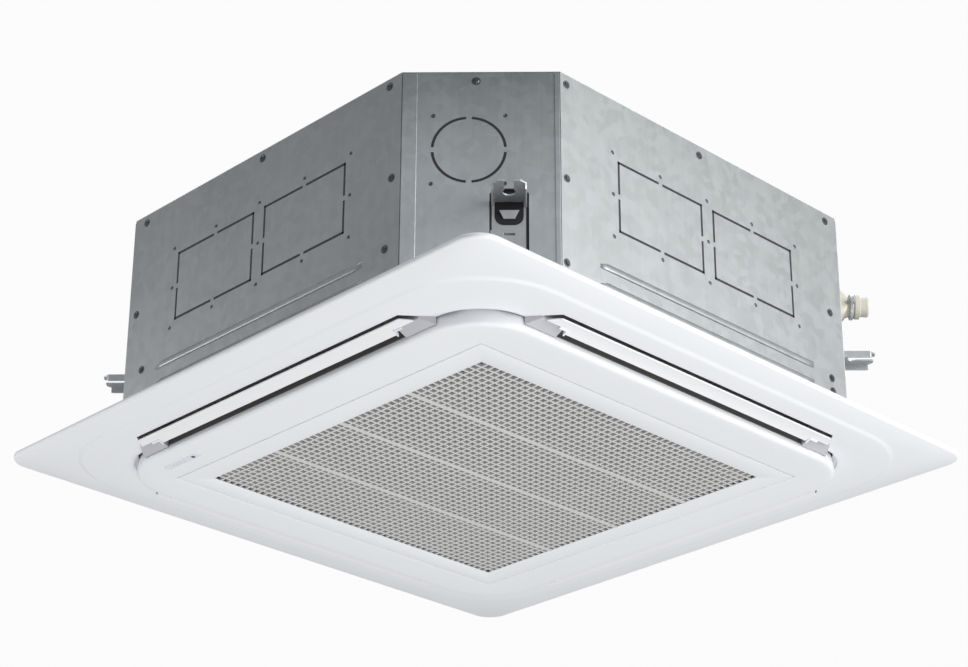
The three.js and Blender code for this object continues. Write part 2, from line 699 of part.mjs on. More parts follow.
function fanMotor() {
  const body = turned(
    [
      [0, MOTOR_BOTTOM],
      [26, MOTOR_BOTTOM],
      [MOTOR_RADIUS - 8, MOTOR_BOTTOM + 6],
      [MOTOR_RADIUS, MOTOR_BOTTOM + 16],
      [MOTOR_RADIUS, MOTOR_TOP],
      [LUG_RADIUS, MOTOR_TOP],
      [LUG_RADIUS, MOTOR_TOP + LUG_SHEET],
      [40, MOTOR_TOP + LUG_SHEET],
      [36, BUSH_TOP + 1],
      [0, BUSH_TOP + 1],
    ],
    24,
  );
  return cut(body, rod(SHAFT_RADIUS + RUNNING, [0, 0, 0], [0, 0, 1], MOTOR_BOTTOM + SHAFT_SEAT, 20));
}

function bushCentre(index) {
  const angle = Math.PI / 6 + (index * 2 * Math.PI) / 3;
  return [BUSH_CIRCLE * Math.cos(angle), BUSH_CIRCLE * Math.sin(angle)];
}

function motorBush(index) {
  const [x, y] = bushCentre(index);
  const low = MOTOR_TOP + LUG_SHEET;
  return rod(BUSH_RADIUS, [x, y, low], [0, 0, 1], BUSH_HEIGHT, 14);
}

// A ring over the motor, with three legs up to the top plate.
function motorBracket() {
  const ring = turned(
    [
      [44, BUSH_TOP],
      [LUG_RADIUS + 6, BUSH_TOP],
      [LUG_RADIUS + 6, BUSH_TOP + BRACKET_SHEET],
      [44, BUSH_TOP + BRACKET_SHEET],
    ],
    24,
  );
  const legs = [0, 1, 2].map((i) => {
    const [x, y] = bushCentre(i);
    const half = BRACKET_LEG / 2;
    return box(x - half, x + half, y - half, y + half, BUSH_TOP + BRACKET_SHEET / 2, WALL_TOP);
  });
  return join(ring, ...legs);
}

function fanNut() {
  const nut = hexagon(18, [0, 0, HUB_BOTTOM - NUT_HEIGHT - GAP], [0, 0, 1], NUT_HEIGHT);
  return cut(nut, rod(SHAFT_RADIUS + RUNNING, [0, 0, 0], [0, 0, 1], HUB_BOTTOM, 20));
}

// ---------------------------------------------------------------- drain
function drainPump() {
  const p = PUMP_PLACE;
  const bodyTop = TROUGH_FLOOR + PUMP_BODY;
  const body = rod(PUMP_RADIUS, [p, -p, TROUGH_FLOOR], [0, 0, 1], PUMP_BODY, 24);
  const motor = rod(PUMP_MOTOR_RADIUS, [p, -p, bodyTop - 1], [0, 0, 1], PUMP_MOTOR, 24);
  const spigotTop = bodyTop + PUMP_MOTOR + 4;
  const spigot = rod(HOSE_RADIUS - 3, [p, -p, bodyTop], [0, 0, 1], spigotTop - bodyTop, 12);
  const stop = PUMP_MOTOR + bodyTop - 1;
  const collar = rod(HOSE_RADIUS, [p, -p, stop - 1], [0, 0, 1], 2, 12);
  return join(body, motor, spigot, collar);
}

// The hose from the pump's spigot, up and out to the drain outlet.
function drainHose() {
  const p = PUMP_PLACE;
  const start = TROUGH_FLOOR + PUMP_BODY + PUMP_MOTOR + 5;
  const s = Math.SQRT1_2;
  const along = (distance, z) => new THREE.Vector3(p + distance * s, -p - distance * s, z);
  const outletStart = CORNER_DISTANCE - 22 - p * Math.SQRT2;
  const path = new THREE.CurvePath();
  path.add(new THREE.LineCurve3(along(0, start), along(0, DRAIN_Z - HOSE_BEND)));
  path.add(new THREE.QuadraticBezierCurve3(along(0, DRAIN_Z - HOSE_BEND), along(0, DRAIN_Z), along(HOSE_BEND, DRAIN_Z)));
  path.add(new THREE.LineCurve3(along(HOSE_BEND, DRAIN_Z), along(outletStart, DRAIN_Z)));
  const round = new THREE.Shape();
  round.absarc(0, 0, HOSE_RADIUS, 0, 2 * Math.PI);
  return new THREE.ExtrudeGeometry(round, { steps: 12, extrudePath: path, curveSegments: 5, bevelEnabled: false });
}

// The drain socket on the right corner: a round chamber across it, and a spigot for the hose.
function drainOutlet() {
  const d = CORNER_DISTANCE;
  const start = d - 21;
  const end = d + DRAIN_REACH;
  const chamberHalf = DRAIN_CHAMBER_LENGTH / 2;
  const chamber = cut(
    rod(DRAIN_CHAMBER, [d, -chamberHalf, DRAIN_Z], [0, 1, 0], DRAIN_CHAMBER_LENGTH, 20),
    box(d - 60, d + GAP, -60, 60, DRAIN_Z - 60, DRAIN_Z + 60),
  );
  const tube = rod(DRAIN_RADIUS, [start, 0, DRAIN_Z], [1, 0, 0], end - start, 20);
  const collar = rod(DRAIN_RADIUS + 3.5, [end - 20, 0, DRAIN_Z], [1, 0, 0], 8, 20);
  const bore = rod(DRAIN_BORE, [d + 4, 0, DRAIN_Z], [1, 0, 0], DRAIN_REACH, 20);
  return toCorner(cut(join(tube, chamber, collar), bore), 3);
}

function floatStem() {
  const stop = rod(FLOAT_STEM + 4, [FLOAT_X, -FLOAT_Y, TROUGH_FLOOR], [0, 0, 1], FLOAT_REST, 16);
  const length = FLOAT_REST + FLOAT_HEIGHT + FLOAT_TRAVEL + 16;
  const stem = rod(FLOAT_STEM, [FLOAT_X, -FLOAT_Y, TROUGH_FLOOR], [0, 0, 1], length, 16);
  const capZ = TROUGH_FLOOR + FLOAT_REST + FLOAT_HEIGHT + FLOAT_TRAVEL + 2;
  const cap = rod(FLOAT_STEM + 5, [FLOAT_X, -FLOAT_Y, capZ], [0, 0, 1], 14, 16);
  return join(stop, stem, cap);
}

function floatRing() {
  const low = TROUGH_FLOOR + FLOAT_REST;
  const ring = rod(FLOAT_RADIUS, [FLOAT_X, -FLOAT_Y, low], [0, 0, 1], FLOAT_HEIGHT, 20);
  return cut(ring, rod(FLOAT_STEM + RUNNING, [FLOAT_X, -FLOAT_Y, 0], [0, 0, 1], 90, 16));
}

// ---------------------------------------------------------------- pipes and gland
// A pipe stub from the coil, closed for transport.
function pipe(radius, [y, z]) {
  const start = COIL_HALF + GAP;
  return rod(radius, [start, y, z], [1, 0, 0], PIPE_END - 1 - start, 16);
}

function flareNut(radius, acrossFlats, [y, z]) {
  const start = PIPE_END - FLARE_NUT_LENGTH;
  const nut = hexagon(acrossFlats, [start, y, z], [1, 0, 0], FLARE_NUT_LENGTH);
  return cut(nut, rod(radius + GAP, [start - 1, y, z], [1, 0, 0], FLARE_NUT_LENGTH + 2, 16));
}

function pipePlate() {
  const y = (GAS_PLACE[0] + LIQUID_PLACE[0]) / 2;
  const z = GAS_PLACE[1];
  const [h, v] = [PIPE_PLATE_WIDTH / 2, PIPE_PLATE_HEIGHT / 2];
  const plate = box(CASING_HALF, CASING_HALF + 1.5, y - h, y + h, z - v, z + v);
  const hole = (radius, [py, pz]) => rod(radius + GAP, [CASING_HALF - 5, py, pz], [1, 0, 0], 20, 16);
  return cut(plate, hole(GAS_RADIUS, GAS_PLACE), hole(LIQUID_RADIUS, LIQUID_PLACE));
}

function cableGland() {
  const [x, z] = GLAND_PLACE;
  const inner = CASING_HALF - SHEET - GAP - 3;
  const profile = [
    [GLAND_BORE, 0],
    [GLAND_RADIUS, 0],
    [GLAND_RADIUS, 3],
    [GLAND_RADIUS - 2 - GAP, 3],
    [GLAND_RADIUS - 2 - GAP, 3 + SHEET + 2 * GAP],
    [GLAND_RADIUS, 3 + SHEET + 2 * GAP],
    [GLAND_RADIUS - 4, 12],
    [GLAND_BORE, 12],
  ];
  return turned(profile, 16).rotateX(-Math.PI / 2).translate(x, inner, z);
}

// ---------------------------------------------------------------- control box
function controlBox() {
  const half = BOX_LENGTH / 2;
  const top = BOX_BOTTOM + BOX_RISE;
  const t = BOX_SHEET;
  const tray = box(-half, half, BOX_NEAR, BOX_FAR, BOX_BOTTOM + t + GAP, top);
  return cut(tray, box(-half + t, half - t, BOX_NEAR + t, BOX_FAR - t, BOX_BOTTOM - 5, top - t));
}

function controlCover() {
  const half = BOX_LENGTH / 2;
  const plate = box(-half, half, BOX_NEAR, BOX_FAR, BOX_BOTTOM, BOX_BOTTOM + BOX_SHEET);
  const tab = BOX_SHEET + GAP;
  const skirt = cut(
    box(-half + tab, half - tab, BOX_NEAR + tab, BOX_FAR - tab, BOX_BOTTOM, BOX_BOTTOM + 5),
    box(-half + tab + 1, half - tab - 1, BOX_NEAR + tab + 1, BOX_FAR - tab - 1, BOX_BOTTOM + 1, BOX_BOTTOM + 9),
  );
  return join(plate, skirt);
}

function controlBoard() {
  const half = BOX_LENGTH / 2 - 60;
  const ceiling = BOX_BOTTOM + BOX_RISE - BOX_SHEET;
  const y = (BOX_NEAR + BOX_FAR) / 2;
  const plate = box(-half, half - 20, y - 18, y + 18, ceiling - 4 - BOARD_SHEET, ceiling - 4);
  const feet = [-half + 6, half - 26].map((x) => box(x - 4, x + 4, y - 4, y + 4, ceiling - 5, ceiling));
  const low = ceiling - 4 - BOARD_SHEET;
  const relay = box(-40, -20, y - 12, y + 4, low - 12, low + 1);
  const capacitor = rod(7, [30, y, low - 14], [0, 0, 1], 15, 14);
  const transformer = box(60, 88, y - 14, y + 14, low - 14, low + 1);
  return join(plate, ...feet, relay, capacitor, transformer);
}

function terminalBlock() {
  const half = BOX_LENGTH / 2 - 6;
  const ceiling = BOX_BOTTOM + BOX_RISE - BOX_SHEET;
  const y = (BOX_NEAR + BOX_FAR) / 2;
  const base = box(half - 62, half, y - 14, y + 14, ceiling - 14, ceiling);
  const slots = [0, 1, 2, 3].map((i) => {
    const x = half - 56 + i * 14;
    return box(x, x + 9, y - 15, y - 6, ceiling - 15, ceiling - 4);
  });
  return cut(base, ...slots);
}

// ---------------------------------------------------------------- panel
function panelRings(inward) {
  return [
    { half: PANEL_HALF - inward, radius: PANEL_CORNER, z: inward ? 5 : 0 },
    { half: PANEL_HALF - inward, radius: PANEL_CORNER, z: -PANEL_EDGE + 2 + (inward ? PANEL_WALL : 0) },
    { half: PANEL_HALF - inward - 3, radius: PANEL_CORNER - 3, z: -PANEL_EDGE + (inward ? PANEL_WALL : 0) },
    { half: CREASE_HALF, radius: CREASE_CORNER, z: -PANEL_DROP + 4 + (inward ? PANEL_WALL : 0) },
    { half: SLOT_OUTER + 2, radius: CREASE_CORNER - 10, z: inward ? TRAY_Z : SURFACE_Z },
  ];
}

// The white panel: a hollow tray with a collar round each outlet and round the inlet.
function panelFrame() {
  const tray = cut(loft(panelRings(0)), loft(panelRings(PANEL_RIM)));
  const w = PANEL_WALL;
  const sealSeat = cut(
    prism(octagon(-1), TRAY_Z - 1, 0),
    prism(octagon(SEAT_INSET), TRAY_Z - 2, 1),
  );
  const inletHalf = OPENING_HALF + w + GAP;
  const inletCollar = cut(
    prism(roundedSquare(inletHalf + w, w, 1), TRAY_Z - 1, COLLAR_TOP),
    box(-inletHalf, inletHalf, -inletHalf, inletHalf, SURFACE_Z - 1, COLLAR_TOP + 1),
  );
  const outlines = (grow) => slotOutline(CENTRE_HALF - grow, SLOT_OUTER + grow, SLOT_END + grow, SLOT_FLARE);
  const collars = SIDES.map((name, side) => toSide(prism(outlines(w), TRAY_Z - 1, 0), side));
  const holes = SIDES.map((name, side) => toSide(prism(outlines(0), SURFACE_Z - 5, COLLAR_TOP + 5), side));
  const inlet = box(-inletHalf, inletHalf, -inletHalf, inletHalf, SURFACE_Z - 5, COLLAR_TOP + 5);
  const body = cut(join(tray, sealSeat, inletCollar, ...collars), inlet, ...holes);
  const bearings = SIDES.map((name, side) => toSide(louverHousing(-1, true), side));
  return join(body, ...bearings);
}

// Half the outlet's length at a distance from the centre: its ends slant.
function slotEndAt(distance) {
  return SLOT_END + (SLOT_FLARE * (SLOT_OUTER - distance)) / (SLOT_OUTER - CENTRE_HALF);
}

// The housing at a louver's end, bored for its shaft: sign +1 for the +Y end, -1 for the other.
// The fixed one is part of the panel and grows out of the outlet's end wall.
function louverHousing(sign, fixed) {
  const [axis, z] = LOUVER_AXIS;
  const near = LOUVER_NOTCH + HOUSING_PLAY;
  const inner = CENTRE_HALF + GAP;
  const outer = axis + HOUSING_OVERHANG;
  const seat = fixed ? 2 : -2 * GAP;
  const outline = [
    [inner, sign * near],
    [outer, sign * near],
    [outer, sign * (slotEndAt(outer) + seat)],
    [inner, sign * (slotEndAt(inner) + seat)],
  ];
  const block = prism(outline, HOUSING_BOTTOM, HOUSING_TOP);
  const boreStart = sign > 0 ? near - 1 : -near - LOUVER_SHAFT_LENGTH - 1;
  const bore = rod(LOUVER_SHAFT + RUNNING, [axis, boreStart, z], [0, 1, 0], LOUVER_SHAFT_LENGTH + 2, 16);
  return cut(block, bore);
}

function panelSeal() {
  return cut(
    prism(octagon(0), 0, CASING_BOTTOM),
    prism(octagon(SEAL_WIDTH), -1, CASING_BOTTOM + 1),
  );
}

// The fixed frame round the inlet door: a rounded square channel, open at the top.
function centreFrame() {
  const w = PANEL_WALL;
  const outer = loft([
    { half: CENTRE_HALF - 2, radius: CENTRE_CORNER, z: SURFACE_Z },
    { half: CENTRE_HALF, radius: CENTRE_CORNER, z: FACE_Z + 6 },
    { half: CENTRE_HALF - 2, radius: CENTRE_CORNER - 1, z: FACE_Z + 1.5 },
    { half: CENTRE_HALF - 7, radius: CENTRE_CORNER - 5, z: FACE_Z },
  ]);
  const hollow = cut(
    prism(roundedSquare(CENTRE_HALF - w - 4, CENTRE_CORNER - 6), FACE_Z + w, SURFACE_Z + 1),
    prism(roundedSquare(OPENING_HALF + w, w, 1), FACE_Z, SURFACE_Z + 2),
  );
  const opening = box(-OPENING_HALF, OPENING_HALF, -OPENING_HALF, OPENING_HALF, FACE_Z - 1, 0);
  const pin = HINGE_PIN + 0.1;
  const pinReach = OPENING_HALF + w + 1;
  const pinHole = rod(pin, [HINGE_X, -pinReach, HINGE_Z], [0, 1, 0], 2 * pinReach, 12);
  const [dx, dy] = displayCentre();
  const [hw, hl] = [DISPLAY_WIDTH / 2 + 0.2, DISPLAY_LENGTH / 2 + 0.2];
  const displayPocket = box(dx - hw, dx + hw, dy - hl, dy + hl, FACE_Z - 1, FACE_Z + DISPLAY_DEPTH + GAP);
  return cut(outer, hollow, opening, pinHole, displayPocket);
}

function displayCentre() {
  return [-(OPENING_HALF + CENTRE_HALF) / 2, DISPLAY_PLACE];
}

function displayWindow() {
  const [x, y] = displayCentre();
  const [hw, hl] = [DISPLAY_WIDTH / 2, DISPLAY_LENGTH / 2];
  return box(x - hw, x + hw, y - hl, y + hl, FACE_Z, FACE_Z + DISPLAY_DEPTH);
}

// The gaps of the lattice: every second bar along X is a wider rib.
function latticeCells(low, high) {
  const pitch = (2 * LATTICE_HALF) / LATTICE_CELLS;
  const line = (i, rib) => {
    const edge = i === 0 || i === LATTICE_CELLS;
    const half = edge ? 0 : (i % 2 ? LATTICE_BAR : rib) / 2;
    const at = i * pitch - LATTICE_HALF;
    return [at - half, at + half];
  };
  const cells = [];
  for (let i = 0; i < LATTICE_CELLS; i++)
    for (let k = 0; k < LATTICE_CELLS; k++) {
      const x = [line(i, LATTICE_BAR)[1], line(i + 1, LATTICE_BAR)[0]];
      const y = [line(k, LATTICE_RIB)[1], line(k + 1, LATTICE_RIB)[0]];
      cells.push(box(...x, ...y, low, high));
    }
  return cells;
}

// The inlet door: a square rim, a face and the lattice with its three wider ribs.
function inletGrille() {
  const d = DOOR_HALF;
  const inner = d - DOOR_WALL;
  const slab = cut(
    box(-d, d, -d, d, FACE_Z, FACE_Z + DOOR_RISE),
    box(-inner, inner, -inner, inner, FACE_Z + DOOR_FACE, FACE_Z + DOOR_RISE + 1),
  );
  const l = LATTICE_HALF;
  const window = box(-l, l, -l, l, FACE_Z - 1, FACE_Z + DOOR_FACE + 1);
  const z0 = FACE_Z + 0.5;
  const z1 = z0 + LATTICE_THICK;
  const seat = l + 2;
  const lattice = cut(box(-seat, seat, -seat, seat, z0, z1), ...latticeCells(z0 - 1, z1 + 1));
  const bossEnd = inner - HINGE_LENGTH;
  const bosses = [
    box(-d, HINGE_X + HINGE_INSET, bossEnd, d, FACE_Z, FACE_Z + 7),
    box(-d, HINGE_X + HINGE_INSET, -d, -bossEnd, FACE_Z, FACE_Z + 7),
  ];
  const pinHole = rod(HINGE_PIN + 0.1, [HINGE_X, -d - 1, HINGE_Z], [0, 1, 0], 2 * d + 2, 12);
  return cut(join(cut(slab, window), lattice, ...bosses), pinHole);
}

function hingePin(sign) {
  const from = DOOR_HALF - HINGE_LENGTH;
  const to = OPENING_HALF + PANEL_WALL - GAP;
  const start = sign > 0 ? from : -to;
  return rod(HINGE_PIN, [HINGE_X, start, HINGE_Z], [0, 1, 0], to - from, 12);
}

// A spring clip on the centre frame that the door's rim snaps against.
function grilleClip(y) {
  const wall = OPENING_HALF - GAP;
  const half = CLIP_WIDTH / 2;
  const rimTop = FACE_Z + DOOR_RISE + GAP;
  const base = box(DOOR_HALF - 8, wall, y - half, y + half, rimTop, rimTop + 1);
  const curl = box(DOOR_HALF - 8, DOOR_HALF - 7, y - half, y + half, rimTop, rimTop + 5);
  return join(base, curl);
}

function airFilter() {
  const f = FILTER_HALF;
  const low = FACE_Z + 0.5 + LATTICE_THICK + 0.6;
  const slab = box(-f, f, -f, f, low, low + FILTER_THICK);
  const bay = (2 * f - FILTER_BAR) / FILTER_BAYS;
  const windows = [];
  for (let i = 0; i < FILTER_BAYS; i++)
    for (let k = 0; k < FILTER_BAYS; k++) {
      const x = -f + FILTER_BAR + i * bay;
      const y = -f + FILTER_BAR + k * bay;
      windows.push(box(x, x + bay - FILTER_BAR, y, y + bay - FILTER_BAR, low - 1, low + FILTER_THICK + 1));
    }
  return cut(slab, ...windows);
}

// A louver: a full-width blade, end strips past its housings, and a stub shaft at each end.
function louver(side) {
  const [axis, z] = LOUVER_AXIS;
  const half = LOUVER_CHORD / 2;
  const t = LOUVER_THICK / 2;
  const blade = box(-half, half, -LOUVER_NOTCH, LOUVER_NOTCH, -t, t);
  const strip = box(LOUVER_STRIP, half, -LOUVER_HALF_LENGTH, LOUVER_HALF_LENGTH, -t, t);
  const reach = LOUVER_NOTCH + LOUVER_SHAFT_LENGTH;
  const shaft = rod(LOUVER_SHAFT, [0, -reach, 0], [0, 1, 0], 2 * reach, 16);
  const piece = join(blade, strip, shaft);
  piece.rotateY((-LOUVER_TILT * Math.PI) / 180);
  return toSide(piece.translate(axis, 0, z), side);
}

// ---------------------------------------------------------------- the assembly
const cassette = new THREE.Group();

function finish(color, roughness, metalness = 0) {
  return new THREE.MeshStandardMaterial({ color, roughness, metalness });
}
const steel = finish(0xa9adb0, 0.45, 0.7);
const bracketSteel = finish(0xb4b8ba, 0.4, 0.8);
const whitePlastic = finish(0xe6e9ee, 0.5);
const latticePlastic = finish(0xc9c8c4, 0.6);
const foam = finish(0xf0efe9, 0.9);
const creamPlastic = finish(0xdcd8c9, 0.55);
const darkPlastic = finish(0x2f3235, 0.6);
const copper = finish(0xb87347, 0.35, 0.9);
const brass = finish(0xc2a25a, 0.35, 0.9);
const fins = finish(0xbfc4c8, 0.5, 0.7);
const rubber = finish(0x232323, 0.8);
const board = finish(0x2f6b45, 0.6);
const filterMesh = finish(0x9a9ea1, 0.8);

function add(name, geometry, material) {
  const mesh = new THREE.Mesh(geometry, material);
  mesh.name = name;
  cassette.add(mesh);
}

add("top_plate", topPlate(), steel);
SIDES.forEach((name, side) => add("side_panel_" + name, sidePanel(side), steel));
CORNERS.forEach((name, corner) => {
  add("corner_panel_" + name, cornerPanel(corner), steel);
  add("hanger_bracket_" + name, hangerBracket(corner), bracketSteel);
});
add("foam_liner", foamLiner(), foam);
add("drain_pan", drainPan(), foam);
add("bell_mouth", bellMouth(), darkPlastic);
add("heat_exchanger", heatExchanger(), fins);
add("coil_end_plate_front", coilEndPlate(true), bracketSteel);
add("coil_end_plate_right", coilEndPlate(false), bracketSteel);
add("turbo_fan", turboFan(), darkPlastic);
add("fan_motor", fanMotor(), bracketSteel);
for (let i = 0; i < 3; i++) add("motor_bush_" + (i + 1), motorBush(i), rubber);
add("motor_bracket", motorBracket(), bracketSteel);
add("fan_shaft", fanShaft(), bracketSteel);
add("fan_nut", fanNut(), brass);
add("drain_pump", drainPump(), darkPlastic);
add("drain_hose", drainHose(), rubber);
add("drain_outlet", drainOutlet(), creamPlastic);
add("float_switch", floatStem(), creamPlastic);
add("float", floatRing(), darkPlastic);
add("gas_pipe", pipe(GAS_RADIUS, GAS_PLACE), copper);
add("liquid_pipe", pipe(LIQUID_RADIUS, LIQUID_PLACE), copper);
add("gas_flare_nut", flareNut(GAS_RADIUS, GAS_NUT, GAS_PLACE), brass);
add("liquid_flare_nut", flareNut(LIQUID_RADIUS, LIQUID_NUT, LIQUID_PLACE), brass);
add("pipe_plate", pipePlate(), steel);
add("cable_gland", cableGland(), rubber);
add("control_box", controlBox(), steel);
add("control_box_cover", controlCover(), steel);
add("control_board", controlBoard(), board);
add("terminal_block", terminalBlock(), creamPlastic);
add("panel_frame", panelFrame(), whitePlastic);
add("panel_seal", panelSeal(), rubber);
add("centre_frame", centreFrame(), whitePlastic);
add("display_window", displayWindow(), whitePlastic);
add("inlet_grille", inletGrille(), latticePlastic);
add("grille_hinge_pin_rear", hingePin(1), bracketSteel);
add("grille_hinge_pin_front", hingePin(-1), bracketSteel);
add("grille_clip_rear", grilleClip(CLIP_PLACE), bracketSteel);
add("grille_clip_front", grilleClip(-CLIP_PLACE), bracketSteel);
add("air_filter", airFilter(), filterMesh);
SIDES.forEach((name, side) => {
  add("louver_" + name, louver(side), whitePlastic);
  add("louver_motor_" + name, toSide(louverHousing(1, false), side), darkPlastic);
});

export default cassette;
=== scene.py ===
import json
import math

import bmesh
import bpy
from mathutils import Matrix, Vector


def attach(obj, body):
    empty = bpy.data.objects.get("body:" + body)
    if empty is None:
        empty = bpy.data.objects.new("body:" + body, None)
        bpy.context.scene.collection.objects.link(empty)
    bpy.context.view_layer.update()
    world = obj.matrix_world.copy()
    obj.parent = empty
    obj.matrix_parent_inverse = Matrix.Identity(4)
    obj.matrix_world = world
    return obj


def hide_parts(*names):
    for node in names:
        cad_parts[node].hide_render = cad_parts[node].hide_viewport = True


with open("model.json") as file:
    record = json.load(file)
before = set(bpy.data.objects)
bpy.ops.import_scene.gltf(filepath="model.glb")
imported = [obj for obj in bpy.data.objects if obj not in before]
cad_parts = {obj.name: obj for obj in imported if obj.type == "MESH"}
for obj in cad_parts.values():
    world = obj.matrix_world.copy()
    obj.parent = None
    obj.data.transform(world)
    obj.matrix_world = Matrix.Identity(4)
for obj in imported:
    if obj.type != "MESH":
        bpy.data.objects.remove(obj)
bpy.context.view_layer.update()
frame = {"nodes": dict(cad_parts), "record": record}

# A ceiling cassette air conditioner. The ceiling is at z = 0, with the casing above and the panel below.

NODES = frame["nodes"]
BODIES = frame["record"]["behaviour"]["bodies"]
BODY_OF = {node: body for body, members in BODIES.items() for node in members}

# ---------------------------------------------------------------- sizes, in millimetres
MM = 0.001
SIDES = ["right", "rear", "left", "front"]
CORNERS = ["far", "left", "near", "right"]

CASING_HALF = 420
CORNER_LEG = 142
CASING_TOP = 320
CORNER_DISTANCE = (2 * CASING_HALF - CORNER_LEG) / math.sqrt(2)
CORNER_HALF = CORNER_LEG / math.sqrt(2)
DUCT_SPACING = 184
DUCT_SIZE = (160, 100)
DUCT_Z = 179
FRESH_AIR = (-15, 206, 46)  # shift along the corner, height, radius
CUT_WIDTH = 3.6
BRIDGE_HALF = 3.5
BEAD_HEIGHTS = (40, 67)
BEAD_HALF_LENGTH = 211
DRAIN_Z = 230

# The hangers, from the axis outwards. Each sits beside its corner's middle.
BOLT_SHIFT = 35.36
PLATE_FRONT = CORNER_DISTANCE - 1.5
CHANNEL_BACK = 488
FOOT_Z = 133
FOOT_END = 545.19
FOOT_HALF = 22
FOOT_CUT = 8

PANEL_HALF = 475
PANEL_CORNER = 34
SLOT_OUTER = 405
SLOT_END = 262
SLOT_FLARE = 30
CENTRE_HALF = 368
CENTRE_CORNER = 88
GROOVE_Z = -8
SURFACE_Z = -14
FACE_Z = -33
DOOR_HALF = 302.5
OPENING_HALF = 303.5
LATTICE_HALF = 266
CELLS = 48
BAR_HALF = 1.6
RIB_PLACES = (-133, 0, 133)
RIB_HALF = 3.8
NET_HALF = 287
LOUVER_AXIS = 386.5
LOUVER_Z = -20.5
LOUVER_TILT = math.radians(8.5)
LOUVER_NOTCH = 236
HOUSING_START = 238.6
DISPLAY = (-335.75, 249)


# ---------------------------------------------------------------- finishes
class Value:
    """An output socket of a finish, so that its maths is written as an expression."""

    def __init__(self, finish, socket):
        self.finish = finish
        self.socket = socket

    def math(self, operation, a, b):
        return self.finish.node("ShaderNodeMath", {"operation": operation}, {0: a, 1: b})

    def __add__(self, other):
        return self.math("ADD", self, other)

    def __sub__(self, other):
        return self.math("SUBTRACT", self, other)

    def __rsub__(self, other):
        return self.math("SUBTRACT", other, self)

    def __mul__(self, other):
        return self.math("MULTIPLY", self, other)


class Finish:
    """A material that is being made from nodes."""

    def __init__(self, name):
        self.material = bpy.data.materials.new(name)
        self.material.use_nodes = True
        self.tree = self.material.node_tree
        self.tree.nodes.clear()
        self.place = self.node("ShaderNodeTexCoord", out="Object")

    def node(self, kind, settings=None, inputs=None, out=0):
        made = self.tree.nodes.new(kind)
        for key, value in (settings or {}).items():
            if key == "stops":
                ramp = made.color_ramp
                while len(ramp.elements) < len(value):
                    ramp.elements.new(1.0)
                for element, (position, colour) in zip(ramp.elements, value):
                    element.position = position
                    element.color = (*colour, 1.0)
            else:
                setattr(made, key, value)
        for key, value in (inputs or {}).items():
            if isinstance(value, Value):
                self.tree.links.new(value.socket, made.inputs[key])
            else:
                made.inputs[key].default_value = value
        return Value(self, made.outputs[out])

    def stretched(self, scale):
        return self.node("ShaderNodeMapping", None, {"Vector": self.place, "Scale": scale})

    def noise(self, scale, detail=2.0, where=None):
        where = where or self.place
        return self.node("ShaderNodeTexNoise", None, {"Vector": where, "Scale": scale, "Detail": detail})

    def cells(self, scale, out="Color", where=None):
        where = where or self.place
        return self.node("ShaderNodeTexVoronoi", None, {"Vector": where, "Scale": scale}, out)

    def wave(self, scale, direction):
        settings = {"wave_type": "BANDS", "bands_direction": direction, "wave_profile": "SIN"}
        return self.node("ShaderNodeTexWave", settings, {"Vector": self.place, "Scale": scale}, "Fac")

    def ramp(self, value, stops):
        return self.node("ShaderNodeValToRGB", {"stops": stops}, {"Fac": value})

    def blend(self, factor, a, b, mode="MIX"):
        made = {"data_type": "RGBA", "blend_type": mode, "clamp_factor": True}
        sides = [v if isinstance(v, Value) else (*v, 1.0) for v in (a, b)]
        return self.node("ShaderNodeMix", made, {0: factor, 6: sides[0], 7: sides[1]}, 2)

    def relief(self, height, strength, distance):
        inputs = {"Height": height, "Strength": strength, "Distance": distance}
        return self.node("ShaderNodeBump", None, inputs)

    def done(self, **inputs):
        named = {key.replace("_", " "): value for key, value in inputs.items()}
        for key, value in named.items():
            if isinstance(value, tuple) and len(value) == 3:
                named[key] = (*value, 1.0)
        shader = self.node("ShaderNodeBsdfPrincipled", None, named)
        output = self.tree.nodes.new("ShaderNodeOutputMaterial")
        self.tree.links.new(shader.socket, output.inputs["Surface"])
        return self.material


def sheet_steel(name, dark, light, spangle=85.0, metal=0.55, gloss=0.40, foot=0.0, head=0.0):
    """Zinc-coated sheet: spangle, grain, faint upright streaks, and painted light: a tone that changes with
    height.
    """
    f = Finish(name)
    height = f.node("ShaderNodeSeparateXYZ", None, {"Vector": f.place}, 2)
    # Painted light: the tone is shifted by height, by foot at the bottom and by head at the top.
    shift = height * height * ((head - foot) / (CASING_TOP * MM) ** 2) + foot
    flake = f.node("ShaderNodeSeparateColor", None, {"Color": f.cells(spangle)}, 0)
    grain = f.noise(1400.0, 3.0)
    cloud = f.noise(7.0, 3.0)
    streak = f.noise(1.0, 3.0, f.stretched((130.0, 130.0, 5.0)))
    tone = flake * 0.12 + grain * 0.26 + cloud * 0.28 + streak * 0.18 + shift
    colour = f.blend(tone, dark, light)
    rough = flake * 0.06 + grain * 0.08 + (gloss - 0.05)
    bump = f.relief(grain * 0.8 + flake * 0.2, 0.08, 0.0003)
    return f.done(Base_Color=colour, Metallic=metal, Roughness=rough, Normal=bump)


def moulded(name, colour, rough=0.42, shade=0.93, grain=1900.0, relief=0.08, coat=0.0):
    """Moulded plastic: a fine spark-eroded grain and a faint unevenness of colour."""
    f = Finish(name)
    dust = f.noise(9.0, 4.0)
    fine = f.noise(grain, 2.0)
    worn = tuple(c * shade for c in colour)
    mixed = f.blend(dust * 0.9 + fine * 0.1, worn, colour)
    bump = f.relief(fine, relief, 0.0002)
    return f.done(Base_Color=mixed, Roughness=fine * 0.10 + (rough - 0.05), Normal=bump, Coat_Weight=coat)


